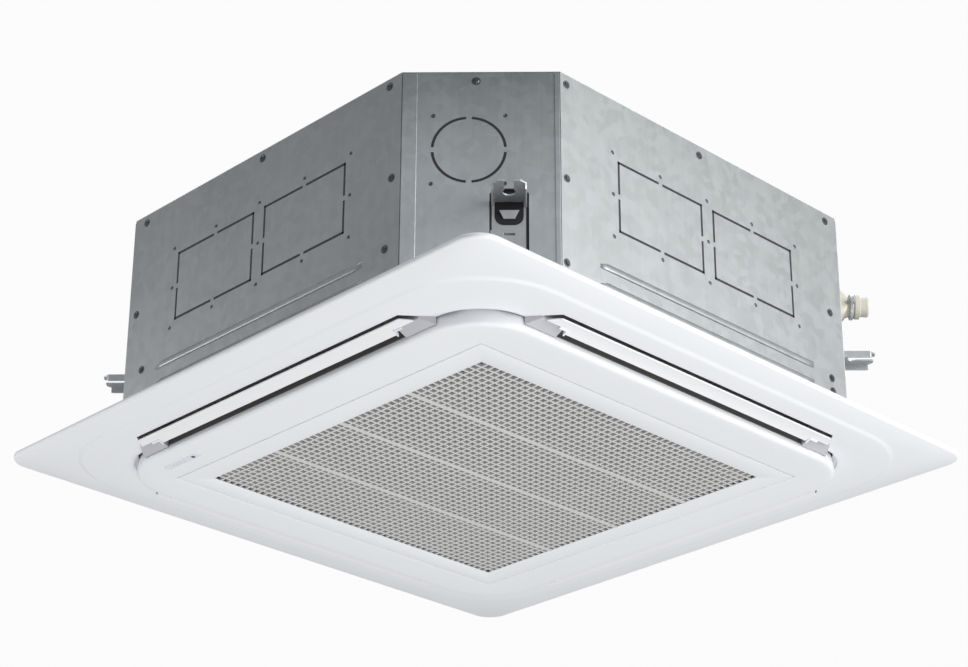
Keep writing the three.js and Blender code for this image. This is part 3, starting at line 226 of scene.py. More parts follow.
def foam(name, colour):
    """Expanded bead foam: closed round beads with darker seams between them."""
    f = Finish(name)
    edge = f.cells(260.0, "Distance")
    seam = f.ramp(edge, [(0.0, (1, 1, 1)), (0.55, (0.86, 0.86, 0.86))])
    mixed = f.blend(1.0, colour, seam, "MULTIPLY")
    bump = f.relief(1 - edge, 0.35, 0.0008)
    return f.done(Base_Color=mixed, Roughness=0.85, Normal=bump)


def fin_stack(name):
    """Pressed aluminium fins, 1.6 mm apart, standing upright, with painted shade in the gaps between them."""
    f = Finish(name)
    across = f.wave(98.0, "X") + f.wave(98.0, "Y")
    smear = f.noise(30.0, 3.0)
    # Painted shade: the dark bands between the fins.
    colour = f.blend(across * 0.5, (0.14, 0.15, 0.16), (0.68, 0.70, 0.72))
    colour = f.blend(smear * 0.35, colour, (0.45, 0.46, 0.47))
    return f.done(Base_Color=colour, Metallic=0.7, Roughness=0.42, Normal=f.relief(across, 0.5, 0.0008))


def drawn_metal(name, dark, light, rough=0.3):
    """Bare metal with a cloudy colour and gloss."""
    f = Finish(name)
    cloud = f.noise(60.0, 4.0)
    fine = f.noise(900.0, 2.0)
    colour = f.blend(cloud, dark, light)
    bump = f.relief(fine, 0.08, 0.0002)
    return f.done(Base_Color=colour, Metallic=0.9, Roughness=cloud * 0.2 + rough - 0.1, Normal=bump)


def board_lacquer(name):
    """Green solder lacquer with darker tracks."""
    f = Finish(name)
    track = f.cells(160.0, "Distance", f.stretched((1.0, 2.2, 1.0)))
    colour = f.ramp(track, [(0.2, (0.02, 0.12, 0.05)), (0.35, (0.05, 0.22, 0.09))])
    return f.done(Base_Color=colour, Roughness=0.35)


def woven_net(name):
    """Grey filter net: crossed threads 1.3 mm apart."""
    f = Finish(name)
    threads = f.wave(120.0, "X") + f.wave(120.0, "Y")
    dust = f.noise(14.0, 4.0)
    colour = f.blend(threads * 0.5, (0.10, 0.098, 0.094), (0.25, 0.245, 0.235))
    colour = f.blend(dust * 0.3, colour, (0.34, 0.33, 0.32))
    return f.done(Base_Color=colour, Roughness=0.8, Normal=f.relief(threads, 0.4, 0.0005))


# Painted light: casing steel is slightly lighter at the foot and darker at the top; corner steel is a bluer
# copy of the same steel with a strong painted gradient, lighter towards the bottom.
casing_steel = sheet_steel("casing_steel", (0.27, 0.288, 0.286), (0.505, 0.52, 0.53), foot=0.10, head=-0.10)
corner_steel_painted_light = sheet_steel("corner_steel_painted_light", (0.20, 0.216, 0.226), (0.55, 0.58, 0.595), foot=0.62, head=-0.28)
zinc = sheet_steel("bracket_steel", (0.42, 0.43, 0.44), (0.72, 0.74, 0.75), 160.0, 0.65, 0.36, 0.08, 0.08)
panel_white = moulded("panel_plastic", (0.83, 0.84, 0.86), 0.40, 0.965)
louver_white = moulded("louver_plastic", (0.86, 0.855, 0.865), 0.36, 0.97)
# The lattice is white plastic, given a warm grey as painted shade of its cells.
lattice_white_painted_shade = moulded("lattice_plastic", (0.63, 0.625, 0.61), 0.5, 0.93)
inner_white = moulded("inner_plastic", (0.72, 0.735, 0.76), 0.55, 0.93)
net_grey = woven_net("filter_net")
frame_grey = moulded("filter_frame_plastic", (0.30, 0.30, 0.31), 0.5)
white_foam = foam("white_foam", (0.82, 0.83, 0.83))
pan_foam = foam("pan_foam", (0.80, 0.81, 0.82))
cream = moulded("cream_plastic", (0.66, 0.63, 0.54), 0.45, 0.9)
dark_plastic = moulded("dark_plastic", (0.055, 0.057, 0.06), 0.45, 0.8)
duct_dark = moulded("duct_shadow", (0.012, 0.012, 0.013), 0.7, 0.8)
# The louver housings are white plastic; their grey is painted shade.
housing_painted_shade = moulded("louver_housing_painted_shade", (0.50, 0.50, 0.53), 0.5)
# Painted shade: a dark grey over the ducts' inner walls, which are the centre frame's white wall in shade.
painted_duct_shade = moulded("duct_wall_painted_shade", (0.13, 0.125, 0.12), 0.7, 0.8)
fan_plastic = moulded("fan_plastic", (0.17, 0.18, 0.19), 0.42, 0.88)
enamel = moulded("motor_enamel", (0.16, 0.165, 0.17), 0.35, 0.85, 1200.0, 0.12)
rubber = moulded("rubber", (0.03, 0.03, 0.031), 0.72, 0.8)
hose_grey = moulded("hose_vinyl", (0.42, 0.43, 0.44), 0.5)
fins = fin_stack("coil_fins")
copper = drawn_metal("copper", (0.50, 0.24, 0.14), (0.72, 0.38, 0.25))
brass = drawn_metal("brass", (0.48, 0.34, 0.12), (0.70, 0.53, 0.24))
screw_steel_and_hole_shade = drawn_metal("screw_steel_and_hole_shade", (0.07, 0.075, 0.08), (0.16, 0.165, 0.17), 0.4)
shaft_steel = drawn_metal("shaft_steel", (0.45, 0.46, 0.47), (0.65, 0.66, 0.67), 0.25)
circuit_board = board_lacquer("circuit_board")
display_glass = moulded("display_window", (0.77, 0.78, 0.81), 0.25, 0.98, 1900.0, 0.02, 0.3)
# The display lamps' dark, also used for the painted shadow in the knock-outs' cuts.
lamp_and_cut_shade_dark = moulded("display_lamp", (0.03, 0.03, 0.035), 0.3)


# ---------------------------------------------------------------- making pieces
def side_turn(side):
    """Turns what is made on the right side, at +X, onto a side."""
    return Matrix.Rotation(side * math.pi / 2, 4, "Z")


def corner_turn(corner):
    """Turns what is made at +X onto a corner."""
    return Matrix.Rotation(math.pi / 4 + corner * math.pi / 2, 4, "Z")


def hanger_shift(corner):
    """How far a hanger sits along its corner."""
    return -BOLT_SHIFT if corner % 2 else BOLT_SHIFT


def add_bevel(obj, width, segments=2, angle=35):
    edge = obj.modifiers.new("edge", "BEVEL")
    edge.width = width * MM
    edge.segments = segments
    edge.limit_method = "ANGLE"
    edge.angle_limit = math.radians(angle)
    edge.harden_normals = True


def add_wall(obj, thickness, offset=-1.0):
    wall = obj.modifiers.new("wall", "SOLIDIFY")
    wall.thickness = thickness * MM
    wall.offset = offset
    wall.use_even_offset = True


def piece(name, bm, finish, body="casing", stands_for=(), smooth=32, scale=MM):
    """A finished mesh, made in millimetres, that rides on a body."""
    bmesh.ops.transform(bm, matrix=Matrix.Scale(scale, 4), verts=bm.verts)
    mesh = bpy.data.meshes.new(name)
    bm.to_mesh(mesh)
    bm.free()
    mesh.materials.append(finish)
    mesh.shade_smooth()
    mesh.set_sharp_from_angle(angle=math.radians(smooth))
    obj = bpy.data.objects.new(name, mesh)
    bpy.context.scene.collection.objects.link(obj)
    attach(obj, body)
    if stands_for:
        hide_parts(*stands_for)
    return obj


def outwards(bm):
    bmesh.ops.remove_doubles(bm, verts=bm.verts, dist=1e-4)
    bmesh.ops.recalc_face_normals(bm, faces=bm.faces)


def face_down(bm):
    """Turns an open shell's faces so that most of it faces down."""
    if sum(f.normal.z * f.calc_area() for f in bm.faces) > 0:
        bmesh.ops.reverse_faces(bm, faces=bm.faces)


def moved(bm, verts, *shift):
    bmesh.ops.translate(bm, vec=Vector(shift), verts=verts)


def block(bm, x, y, z, turn=None):
    """A block between two values on each axis."""
    spans = (x, y, z)
    centre = Vector([(a + b) / 2 for a, b in spans])
    size = Vector([b - a for a, b in spans])
    matrix = Matrix.Translation(centre) @ Matrix.Diagonal((*size, 1.0))
    return bmesh.ops.create_cube(bm, size=1.0, matrix=(turn or Matrix()) @ matrix)["verts"]


def rod(bm, radius, start, way, length, segments=20, end_radius=None, turn=None):
    """A round bar or cone from a start, along a direction."""
    middle = Vector(start) + Vector(way).normalized() * (length / 2)
    aim = Vector((0, 0, 1)).rotation_difference(Vector(way)).to_matrix().to_4x4()
    return bmesh.ops.create_cone(
        bm,
        cap_ends=True,
        segments=segments,
        radius1=radius,
        radius2=radius if end_radius is None else end_radius,
        depth=length,
        matrix=(turn or Matrix()) @ Matrix.Translation(middle) @ aim,
    )["verts"]


def turned(bm, profile, matrix=None, steps=40):
    """A profile of (radius, height) points, spun about Z and then put in place."""
    before = set(bm.verts)
    verts = [bm.verts.new((r, 0, z)) for r, z in profile]
    edges = [bm.edges.new(pair) for pair in zip(verts, verts[1:])]
    bmesh.ops.spin(
        bm,
        geom=verts + edges,
        cent=(0, 0, 0),
        axis=(0, 0, 1),
        angle=2 * math.pi,
        steps=steps,
        use_merge=True,
    )
    fresh = [v for v in bm.verts if v not in before]
    bmesh.ops.transform(bm, matrix=matrix or Matrix(), verts=fresh)
    return fresh


def rounded_off(bm, geom, radius, steps, kind="EDGES"):
    """Rounds the given edges or corners."""
    return bmesh.ops.bevel(
        bm,
        geom=geom,
        affect=kind,
        offset=radius,
        segments=steps,
        profile=0.5,
        material=-1,
    )


def ring(bm, half, radius, z, steps=10):
    """A rounded square loop of edges."""
    made = bmesh.ops.create_grid(bm, x_segments=1, y_segments=1, size=half)["verts"]
    moved(bm, made, 0, 0, z)
    rounded = rounded_off(bm, made, radius, steps, "VERTICES")
    face = rounded["verts"][0].link_faces[0]
    edges = list(face.edges)
    bmesh.ops.delete(bm, geom=[face], context="FACES_ONLY")
    return edges


def skin(bm, rings, steps=10):
    """Bridges rounded square loops (half, radius, z), one to the next."""
    loops = [ring(bm, *r, steps) for r in rings]
    for a, b in zip(loops, loops[1:]):
        bmesh.ops.bridge_loops(bm, edges=a + b)


def upstand(bm, rings, rise, steps):
    """A standing wall between two closed loops."""
    for loop in rings:
        ring(bm, *loop, steps)
    bmesh.ops.bridge_loops(bm, edges=bm.edges[:])
    bmesh.ops.recalc_face_normals(bm, faces=bm.faces)
    top = bmesh.ops.extrude_face_region(bm, geom=bm.faces[:])["geom"]
    moved(bm, [g for g in top if isinstance(g, bmesh.types.BMVert)], 0, 0, rise)
    outwards(bm)


def refined(node, finish, width=0.4, smooth=32, segments=2, name=None, dissolve=2.0, trim=None):
    """A copy of a CAD node with joined, softened edges that stands for the node."""
    bm = bmesh.new()
    bm.from_mesh(NODES[node].data)
    bmesh.ops.remove_doubles(bm, verts=bm.verts, dist=2e-6)
    bmesh.ops.dissolve_limit(bm, angle_limit=math.radians(dissolve), verts=bm.verts, edges=bm.edges)
    if trim:
        trim(bm)
    made = piece(name or node + "_dressed", bm, finish, BODY_OF[node], (node,), smooth, 1.0)
    if width:
        add_bevel(made, width, segments)


def slot_end(distance):
    """Half the length of an outlet, at a distance from the panel's middle."""
    return SLOT_END + SLOT_FLARE * (SLOT_OUTER - distance) / (SLOT_OUTER - CENTRE_HALF)


# ---------------------------------------------------------------- casing
def foot_corners_off(corner):
    """Takes the two outer corners off a hanger's foot."""
    def trim(bm):
        for sign in (-1, 1):
            point = Vector((FOOT_END - FOOT_CUT, hanger_shift(corner) + sign * FOOT_HALF, 0)) * MM
            normal = Vector((1, sign, 0)).normalized()
            turn = corner_turn(corner)
            bmesh.ops.bisect_plane(
                bm,
                geom=bm.verts[:] + bm.edges[:] + bm.faces[:],
                dist=1e-6,
                plane_co=turn @ point,
                plane_no=turn.to_3x3() @ normal,
                clear_outer=True,
            )
            bmesh.ops.holes_fill(bm, edges=[e for e in bm.edges if e.is_boundary], sides=0)
    return trim


def beads_flat(side):
    """Takes a wall's plain beads back to the sheet, as softer ones lie over them."""
    def trim(bm):
        turn = side_turn(side)
        for v in bm.verts:
            local = turn.inverted() @ v.co
            if local.x > (CASING_HALF + 0.5) * MM:
                local.x = (CASING_HALF + 0.05) * MM
                v.co = turn @ local
    return trim


for side, name in enumerate(SIDES):
    refined("side_panel_" + name, casing_steel, 0.35, 8, trim=beads_flat(side))
for corner, name in enumerate(CORNERS):
    refined("corner_panel_" + name, corner_steel_painted_light, 0.3, 8)
    refined("hanger_bracket_" + name, zinc, 0.5, segments=3, trim=foot_corners_off(corner))
refined("top_plate", casing_steel, 0.5, 8)

# In each hanger's channel: painted shade as near-black sheets on its sides and back and in the opening under
# the foot, and the tongue in it.
strip = (PLATE_FRONT - 0.4, PLATE_FRONT + 0.35)
for corner, name in enumerate(CORNERS):
    place = corner_turn(corner) @ Matrix.Translation((0, hanger_shift(corner), 0))
    bm = bmesh.new()
    block(bm, strip, (21.0, 24.6), (8, FOOT_Z + 0.8), place)
    block(bm, strip, (-24.6, -21.6), (92, FOOT_Z + 0.8), place)
    block(bm, strip, (-24.6, -23.4), (8, 92), place)
    block(bm, (CHANNEL_BACK - 0.3, CHANNEL_BACK + 0.3), (-25.5, 25.5), (FOOT_Z, 152), place)
    window = block(bm, (PLATE_FRONT - 0.4, PLATE_FRONT + 0.3), (-18, 18), (99, FOOT_Z - 1.6))
    low = {e for v in window for e in v.link_edges if all(w.co.z < 100 for w in e.verts)
           and abs(e.verts[0].co.x - e.verts[1].co.x) > 0.1}
    rounded = rounded_off(bm, list(low), 12, 6)
    shape = {v for v in window if v.is_valid} | set(rounded["verts"])
    bmesh.ops.transform(bm, matrix=place, verts=list(shape))
    outwards(bm)
    piece("channel_shade_" + name, bm, duct_dark)
    bm = bmesh.new()
    tongue = block(bm, (PLATE_FRONT + 0.2, PLATE_FRONT + 1.4), (-12.5, 12.5), (107.5, 118))
    for v in tongue:
        if v.co.z < 110:
            v.co.y *= 0.55
        else:
            v.co.x += 3.2
    bmesh.ops.transform(bm, matrix=place, verts=tongue)
    outwards(bm)
    add_bevel(piece("hanger_tongue_" + name, bm, zinc), 0.4)


def screw_head(bm, matrix, radius=4.2, height=1.9):
    """A pan-head screw with a washer face and a raised cross."""
    head = rod(bm, radius + 1.4, (0, 0, -0.4), (0, 0, 1), 1.0, 14)
    cap = rod(bm, radius, (0, 0, 0.5), (0, 0, 1), height, 14, radius * 0.62)
    arm, rise = (-radius * 0.45, radius * 0.45), (height - 0.2, height + 0.62)
    bars = block(bm, (-0.6, 0.6), arm, rise)
    bars += block(bm, arm, (-0.6, 0.6), rise)
    bmesh.ops.transform(bm, matrix=matrix, verts=head + cap + bars)


Z_TO_X = Matrix.Rotation(math.pi / 2, 4, "Y")


def on_side(side, along, z):
    """Places a detail that is made on +Z onto a wall."""
    return side_turn(side) @ Matrix.Translation((CASING_HALF, along, z)) @ Z_TO_X


def on_corner(corner, along, z):
    return corner_turn(corner) @ Matrix.Translation((CORNER_DISTANCE, along, z)) @ Z_TO_X


# Screws, by wall: (along the wall, height). Along runs anticlockwise seen from above.
WALL_SCREWS = {
    "front": [(-267, 305), (-268, 168), (-270, 49), (-12, 305), (255, 307), (253, 163), (249, 43), (248, 62)],
    "left": [(255, 308), (2, 307), (-252, 307), (-241, 75), (252, 75), (-262, 166), (262, 172)],
    "rear": [(-262, 306), (0, 306), (262, 306), (-262, 160), (262, 160), (-250, 60), (250, 60)],
    "right": [(-262, 306), (0, 306), (262, 306), (-262, 100), (262, 160), (-250, 60), (250, 60)],
}
for side, name in enumerate(SIDES):
    bm = bmesh.new()
    for along, z in WALL_SCREWS[name]:
        screw_head(bm, on_side(side, along, z))
    piece("wall_screws_" + name, bm, screw_steel_and_hole_shade, smooth=40)

CORNER_SCREWS = {
    "near": [(-6, 306)],
    "left": [(0, 306), (-74, 206)],
    "far": [(0, 306), (60, 206)],
    "right": [(0, 306), (-62, 190), (62, 190)],
}
for corner, name in enumerate(CORNERS):
    bm = bmesh.new()
    for along, z in CORNER_SCREWS[name]:
        screw_head(bm, on_corner(corner, along, z))
    piece("corner_screws_" + name, bm, screw_steel_and_hole_shade, smooth=40)


def pilot_hole(bm, matrix, radius=2.1):
    """A punched hole, as a dark disc of painted shade, with a slightly raised lip."""
    lip = turned(bm, [(radius - 0.5, 0.05), (radius, 0.45), (radius + 0.9, 0.02)], steps=12)
    level = Matrix.Translation((0, 0, 0.12))
    base = bmesh.ops.create_circle(bm, cap_ends=True, segments=12, radius=radius, matrix=level)
    bmesh.ops.transform(bm, matrix=matrix, verts=lip + base["verts"])


# Pilot holes round the duct knock-outs, which the right wall lacks, and round the fresh-air one.
for side, name in enumerate(SIDES[1:], 1):
    bm = bmesh.new()
    for along in (-183, -DUCT_SPACING / 2, 0, DUCT_SPACING / 2, 183):
        for z in (DUCT_Z - 61, DUCT_Z, DUCT_Z + 61):
            inside_duct = abs(along) == DUCT_SPACING / 2 and z == DUCT_Z
            if not inside_duct and (name, along, z) != ("rear", -183, DUCT_Z):
                pilot_hole(bm, on_side(side, along, z))
    piece("pilot_holes_" + name, bm, screw_steel_and_hole_shade)
bm = bmesh.new()
for along, z in ((-60, 255), (31, 255), (-62, 157), (30, 157)):
    pilot_hole(bm, on_corner(2, along, z))
piece("pilot_holes_near", bm, screw_steel_and_hole_shade)


def cut_shadow_strip(bm, a, b, matrix):
    """A near-black strip of painted shadow along a knock-out's cut, between two points on a wall."""
    (y0, z0), (y1, z1) = a, b
    half = CUT_WIDTH / 2
    across = (min(y0, y1) - half, max(y0, y1) + half)
    upright = (min(z0, z1) - half, max(z0, z1) + half)
    bmesh.ops.transform(bm, matrix=matrix, verts=block(bm, (-1.0, 0.09), across, upright))


# Painted shadow in the duct knock-outs' cuts.
for side, name in enumerate(SIDES[1:], 1):
    bm = bmesh.new()
    half_width, half_height = DUCT_SIZE[0] / 2, DUCT_SIZE[1] / 2
    start = BRIDGE_HALF + CUT_WIDTH / 2
    for middle in (-DUCT_SPACING / 2, DUCT_SPACING / 2):
        place = side_turn(side) @ Matrix.Translation((CASING_HALF, middle, DUCT_Z))
        for u in (-1, 1):
            for v in (-1, 1):
                bend = (u * half_width, v * half_height)
                cut_shadow_strip(bm, bend, (u * start, v * half_height), place)
                cut_shadow_strip(bm, bend, (u * half_width, v * start), place)
    piece("cut_lines_" + name, bm, lamp_and_cut_shade_dark)

# Painted shadow in the round fresh-air knock-out's cut: four arcs, with bridges between them.
bm = bmesh.new()
shift, height, radius = FRESH_AIR
gap = (BRIDGE_HALF + 0.5) / radius
for quarter in range(4):
    section = bmesh.ops.create_grid(bm, x_segments=1, y_segments=1, size=1)["verts"]
    for v in section:
        v.co = Vector((-0.45 + 0.54 * v.co.x, radius + v.co.y * CUT_WIDTH / 2, 0))
    for angle in (gap, quarter * math.pi / 2):
        bmesh.ops.rotate(bm, cent=(0, 0, 0), matrix=Matrix.Rotation(angle, 3, "X"), verts=section)
    bmesh.ops.spin(
        bm,
        geom=section + list(section[0].link_faces) + list({e for v in section for e in v.link_edges}),
        cent=(0, 0, 0),
        axis=(1, 0, 0),
        angle=math.pi / 2 - 2 * gap,
        steps=12,
    )
place = corner_turn(2) @ Matrix.Translation((CORNER_DISTANCE, shift, height))
bmesh.ops.transform(bm, matrix=place, verts=bm.verts)
outwards(bm)
piece("cut_lines_fresh_air", bm, lamp_and_cut_shade_dark)

# The bent edge of each wall that laps the corner panel, with a rounded bend.
for corner, name in enumerate(CORNERS):
    bm = bmesh.new()
    for end, width in ((-1, 19), (1, 6.5)):
        lap = block(bm, (-0.6, 1.0), (-width, 0), (10.0, CASING_TOP - 3))
        if end < 0:
            bmesh.ops.scale(bm, vec=(1, -1, 1), verts=lap)
        moved(bm, lap, CORNER_DISTANCE, end * (CORNER_HALF - 1.0), 0)
        bmesh.ops.transform(bm, matrix=corner_turn(corner), verts=lap)
    outwards(bm)
    add_bevel(piece("seam_strips_" + name, bm, corner_steel_painted_light), 0.8, 3)

# Soft pressed beads over the walls' plain ones: (height, rise), with the steep edge below.
BEAD_PROFILE = [(-3.4, 0), (-2.4, 1.2), (-0.9, 1.8), (2.6, 1.1), (7.5, 0)]
for side, name in enumerate(SIDES):
    bm = bmesh.new()
    turn = side_turn(side)
    for z in BEAD_HEIGHTS:
        bead = bmesh.ops.create_grid(bm, x_segments=4, y_segments=30, size=1)["verts"]
        for v in bead:
            level, rise = BEAD_PROFILE[round((v.co.x + 1) * 2)]
            along = v.co.y
            rise *= min(1.0, (1 - abs(along)) * 15)
            v.co = Vector((CASING_HALF - 0.1 + rise, along * BEAD_HALF_LENGTH, z + level))
        bmesh.ops.transform(bm, matrix=turn, verts=bead)
    bmesh.ops.recalc_face_normals(bm, faces=bm.faces)
    for f in bm.faces:
        if f.normal.dot(turn.to_3x3() @ Vector((1, 0, 0))) < 0:
            f.normal_flip()
    add_wall(piece("pressed_beads_" + name, bm, casing_steel, smooth=60), 0.8)


# ---------------------------------------------------------------- panel
def slot_quads(bm, inner, outer, z):
    """The four straight faces between the outlets' inner and outer edges."""
    found = []
    for f in bm.faces:
        c = f.calc_center_median()
        near, far = sorted((abs(c.x), abs(c.y)))
        if inner < far < outer and near < 5 and abs(c.z - z) < 1:
            found.append(f)
    return found


# The panel's flange: an open shell with a crease, and a hole for each outlet with a turned-up rim.
bm = bmesh.new()
skin(bm, [
    (PANEL_HALF, PANEL_CORNER, 0),
    (PANEL_HALF, PANEL_CORNER, -3.8),
    (PANEL_HALF - 0.8, PANEL_CORNER - 0.8, -5.4),
    (PANEL_HALF - 3, PANEL_CORNER - 3, -6.4),
    (440, 132, -9.4),
    (437.6, 130.4, -9.9),
    (435.4, 129, -11.9),
    (432, 127, -12.5),
    (407, 140, -14),
    (SLOT_OUTER, SLOT_OUTER - SLOT_END, SURFACE_Z),
    (CENTRE_HALF, CENTRE_HALF - SLOT_END - SLOT_FLARE, SURFACE_Z),
], 12)
outwards(bm)
bmesh.ops.delete(bm, geom=slot_quads(bm, CENTRE_HALF, SLOT_OUTER, SURFACE_Z), context="FACES")
rim = [e for e in bm.edges if e.is_boundary and all(abs(v.co.z - SURFACE_Z) < 0.01 for v in e.verts)]
for lift in (1.2, 11.6):
    raised = bmesh.ops.extrude_edge_only(bm, edges=rim)["geom"]
    rim = [g for g in raised if isinstance(g, bmesh.types.BMEdge)]
    moved(bm, [g for g in raised if isinstance(g, bmesh.types.BMVert)], 0, 0, lift)
bmesh.ops.recalc_face_normals(bm, faces=bm.faces)
face_down(bm)
shell = piece("panel_shell", bm, panel_white, stands_for=("panel_frame",), smooth=50)
add_wall(shell, 2.6)

# The floor of the groove between flange and centre frame, at the corners, near-black as painted shade.
bm = bmesh.new()
skin(bm, [(CENTRE_HALF + 1, 77, GROOVE_Z), (CENTRE_HALF - 5, CENTRE_CORNER - 5, GROOVE_Z)], 12)
gone = slot_quads(bm, CENTRE_HALF - 6, CENTRE_HALF + 2, GROOVE_Z)
bmesh.ops.delete(bm, geom=gone, context="FACES")
face_down(bm)
add_wall(piece("groove_floor", bm, duct_dark), 2.0)

# The octagonal seat for the casing's seal, and the collar round the inlet, above the tray.
bm = bmesh.new()
narrowing = 2 - math.sqrt(2)
octagons = [(CASING_HALF - inset, CORNER_LEG - inset * narrowing, -11.4) for inset in (-1, 13.8)]
upstand(bm, octagons, 11.4, 1)
add_bevel(piece("seal_seat", bm, inner_white), 0.6)

bm = bmesh.new()
upstand(bm, [(OPENING_HALF + 3.3, 4, -12), (OPENING_HALF + 6.3, 4, -12)], 17, 4)
add_bevel(piece("inlet_collar", bm, inner_white), 0.5)


def stiffener(bm, span, along, feet, turn):
    """A thin rib whose foot follows the flange's slope."""
    rib = block(bm, span, (along - 0.9, along + 0.9), (-9, -1.8))
    for v in rib:
        if v.co.z < -5:
            v.co.z = feet[0] if v.co.x < sum(span) / 2 else feet[1]
    bmesh.ops.transform(bm, matrix=turn, verts=rib)


# Stiffening ribs on the panel's upper side, outside the casing.
bm = bmesh.new()
for side in range(4):
    turn = side_turn(side)
    for along in range(-340, 341, 68):
        stiffener(bm, (421, 471), along, (-10.2, -4.0), turn)
    block(bm, (446, 447.8), (-408, 408), (-7.0, -2.0), turn)
for corner in range(4):
    for along in (-70, -24, 24, 70):
        stiffener(bm, (495, 612 - abs(along) * 0.55), along, (-10.2, -4.4), corner_turn(corner))
outwards(bm)
piece("panel_ribs", bm, inner_white)

# The fixed frame round the inlet door.
bm = bmesh.new()
skin(bm, [
    (363, 84, -8.5),
    (366, CENTRE_CORNER, -8),
    (367.6, CENTRE_CORNER, -24),
    (CENTRE_HALF, CENTRE_CORNER, -27.4),
    (367.5, 87.5, -29.6),
    (366, 86.2, -31.4),
    (363.8, 84.6, -32.5),
    (360.5, 82, FACE_Z),
    (352, 74, FACE_Z),
    (OPENING_HALF + 3, 4, FACE_Z),
    (OPENING_HALF + 0.6, 1.6, -32.8),
    (OPENING_HALF, 1, -32.2),
    (OPENING_HALF, 1, -17),
], 12)
outwards(bm)
face_down(bm)
shell = piece("centre_frame_shell", bm, panel_white, stands_for=("centre_frame",), smooth=42)
add_wall(shell, 2.6)

# Display window: a faint strip with one lamp and the remote receiver.
bm = bmesh.new()
x, y = DISPLAY
block(bm, (x - 6, x + 6), (y - 36, y + 36), (-33.35, -31.4))
rounded_off(bm, [e for e in bm.edges if abs(e.verts[0].co.z - e.verts[1].co.z) > 1], 3.0, 4)
strip = piece("display_strip", bm, display_glass, stands_for=("display_window",))
add_bevel(strip, 0.15)
bm = bmesh.new()
rod(bm, 3.1, (x, y - 24, -33.5), (0, 0, 1), 1.0, 20)
for along in (-4, 4, 11, 18):
    rod(bm, 0.8, (x, y + along, -33.45), (0, 0, 1), 0.6, 10)
piece("display_lamps", bm, lamp_and_cut_shade_dark)


# ---------------------------------------------------------------- inlet door and filter
# The door's rim: an open shell round the lattice.
bm = bmesh.new()
skin(bm, [
    (DOOR_HALF, 1.2, -20),
    (DOOR_HALF, 1.2, -32.2),
    (DOOR_HALF - 0.6, 1.0, -32.85),
    (DOOR_HALF - 1.4, 0.8, FACE_Z),
    (LATTICE_HALF + 1.0, 1.0, FACE_Z),
    (LATTICE_HALF, 0.6, -32.4),
    (LATTICE_HALF, 0.6, -30.4),
], 4)
outwards(bm)
face_down(bm)
add_wall(piece("inlet_door", bm, panel_white, "grille", ("inlet_grille",), 42), 2.2)

# The lattice: fine crossed bars, and three broad ribs along one way.
reach = (-LATTICE_HALF - 1, LATTICE_HALF + 1)
bm = bmesh.new()
for i in range(1, CELLS):
    at = i * (2 * LATTICE_HALF / CELLS) - LATTICE_HALF
    block(bm, (at - BAR_HALF, at + BAR_HALF), reach, (-32.6, -28.2))
    block(bm, reach, (at - BAR_HALF, at + BAR_HALF), (-32.5, -28.4))
piece("lattice", bm, lattice_white_painted_shade, "grille")

bm = bmesh.new()
for at in RIB_PLACES:
    block(bm, reach, (at - RIB_HALF, at + RIB_HALF), (FACE_Z, -29.6))
add_bevel(piece("lattice_ribs", bm, lattice_white_painted_shade, "grille"), 0.5)

# Stiffeners behind the door's rim.
bm = bmesh.new()
for side in range(4):
    for along in range(-252, 253, 42):
        span = (LATTICE_HALF + 1, DOOR_HALF - 2.9)
        block(bm, span, (along - 0.8, along + 0.8), (-31, -22.5), side_turn(side))
piece("door_stiffeners", bm, inner_white, "grille")

bm = bmesh.new()
block(bm, (-NET_HALF, NET_HALF), (-NET_HALF, NET_HALF), (-27.4, -27.1))
piece("filter_net", bm, net_grey, "grille")
refined("air_filter", frame_grey, 0.4, name="filter_frame")


# ---------------------------------------------------------------- louvers
def louver_blade(bm):
    """A slightly arched vane, notched at both ends."""
    across = [-8.5, -5.5, -2.5, 1, 6, 11, 16.5]
    along = [-1.12, -1, -0.66, -0.33, 0.33, 0.66, 1, 1.12]
    cells = bmesh.ops.create_grid(bm, x_segments=6, y_segments=7, size=1)["verts"]
    for v in cells:
        x = across[round((v.co.x + 1) * 3)]
        part = along[round((v.co.y + 1) * 3.5)]
        y = part * LOUVER_NOTCH
        if abs(part) > 1:
            y = math.copysign(slot_end(LOUVER_AXIS + x) - 3.2, y)
        v.co = Vector((x, y, 1.4 - 1.6 * (x / across[-1]) ** 2))
    middles = [(f, f.calc_center_median()) for f in bm.faces]
    notches = [f for f, middle in middles if middle.x < 1 and abs(middle.y) > LOUVER_NOTCH]
    bmesh.ops.delete(bm, geom=notches, context="FACES")
    if bm.faces[:][0].normal.z > 0:
        bmesh.ops.reverse_faces(bm, faces=bm.faces[:])


tilt = Matrix.Rotation(-LOUVER_TILT, 4, "Y")
for side, name in enumerate(SIDES):
    louver = "louver_" + name
    place = side_turn(side) @ Matrix.Translation((LOUVER_AXIS, 0, LOUVER_Z)) @ tilt
    bm = bmesh.new()
    louver_blade(bm)
    bmesh.ops.transform(bm, matrix=place, verts=bm.verts)
    blade = piece("louver_blade_" + name, bm, louver_white, louver, (louver,), 50)
    add_wall(blade, 2.6, 0.0)
    add_bevel(blade, 1.0, 3, 50)
    bm = bmesh.new()
    for sign in (-1, 1):
        rod(bm, 2, (LOUVER_AXIS, sign * 234, LOUVER_Z), (0, sign, 0), 16, 16, turn=side_turn(side))
        middle = sign * (LOUVER_NOTCH - 0.4)
        arm = block(bm, (-8.5, 3), (middle - 1.3, middle + 1.3), (-3.6, 4.5))
        for v in arm:
            if v.co.z > 0:
                v.co.x *= 0.45
            elif v.co.x > 0:
                v.co.z = -0.6
        bmesh.ops.transform(bm, matrix=place, verts=arm)
    add_bevel(piece("louver_pins_" + name, bm, panel_white, louver), 0.5)

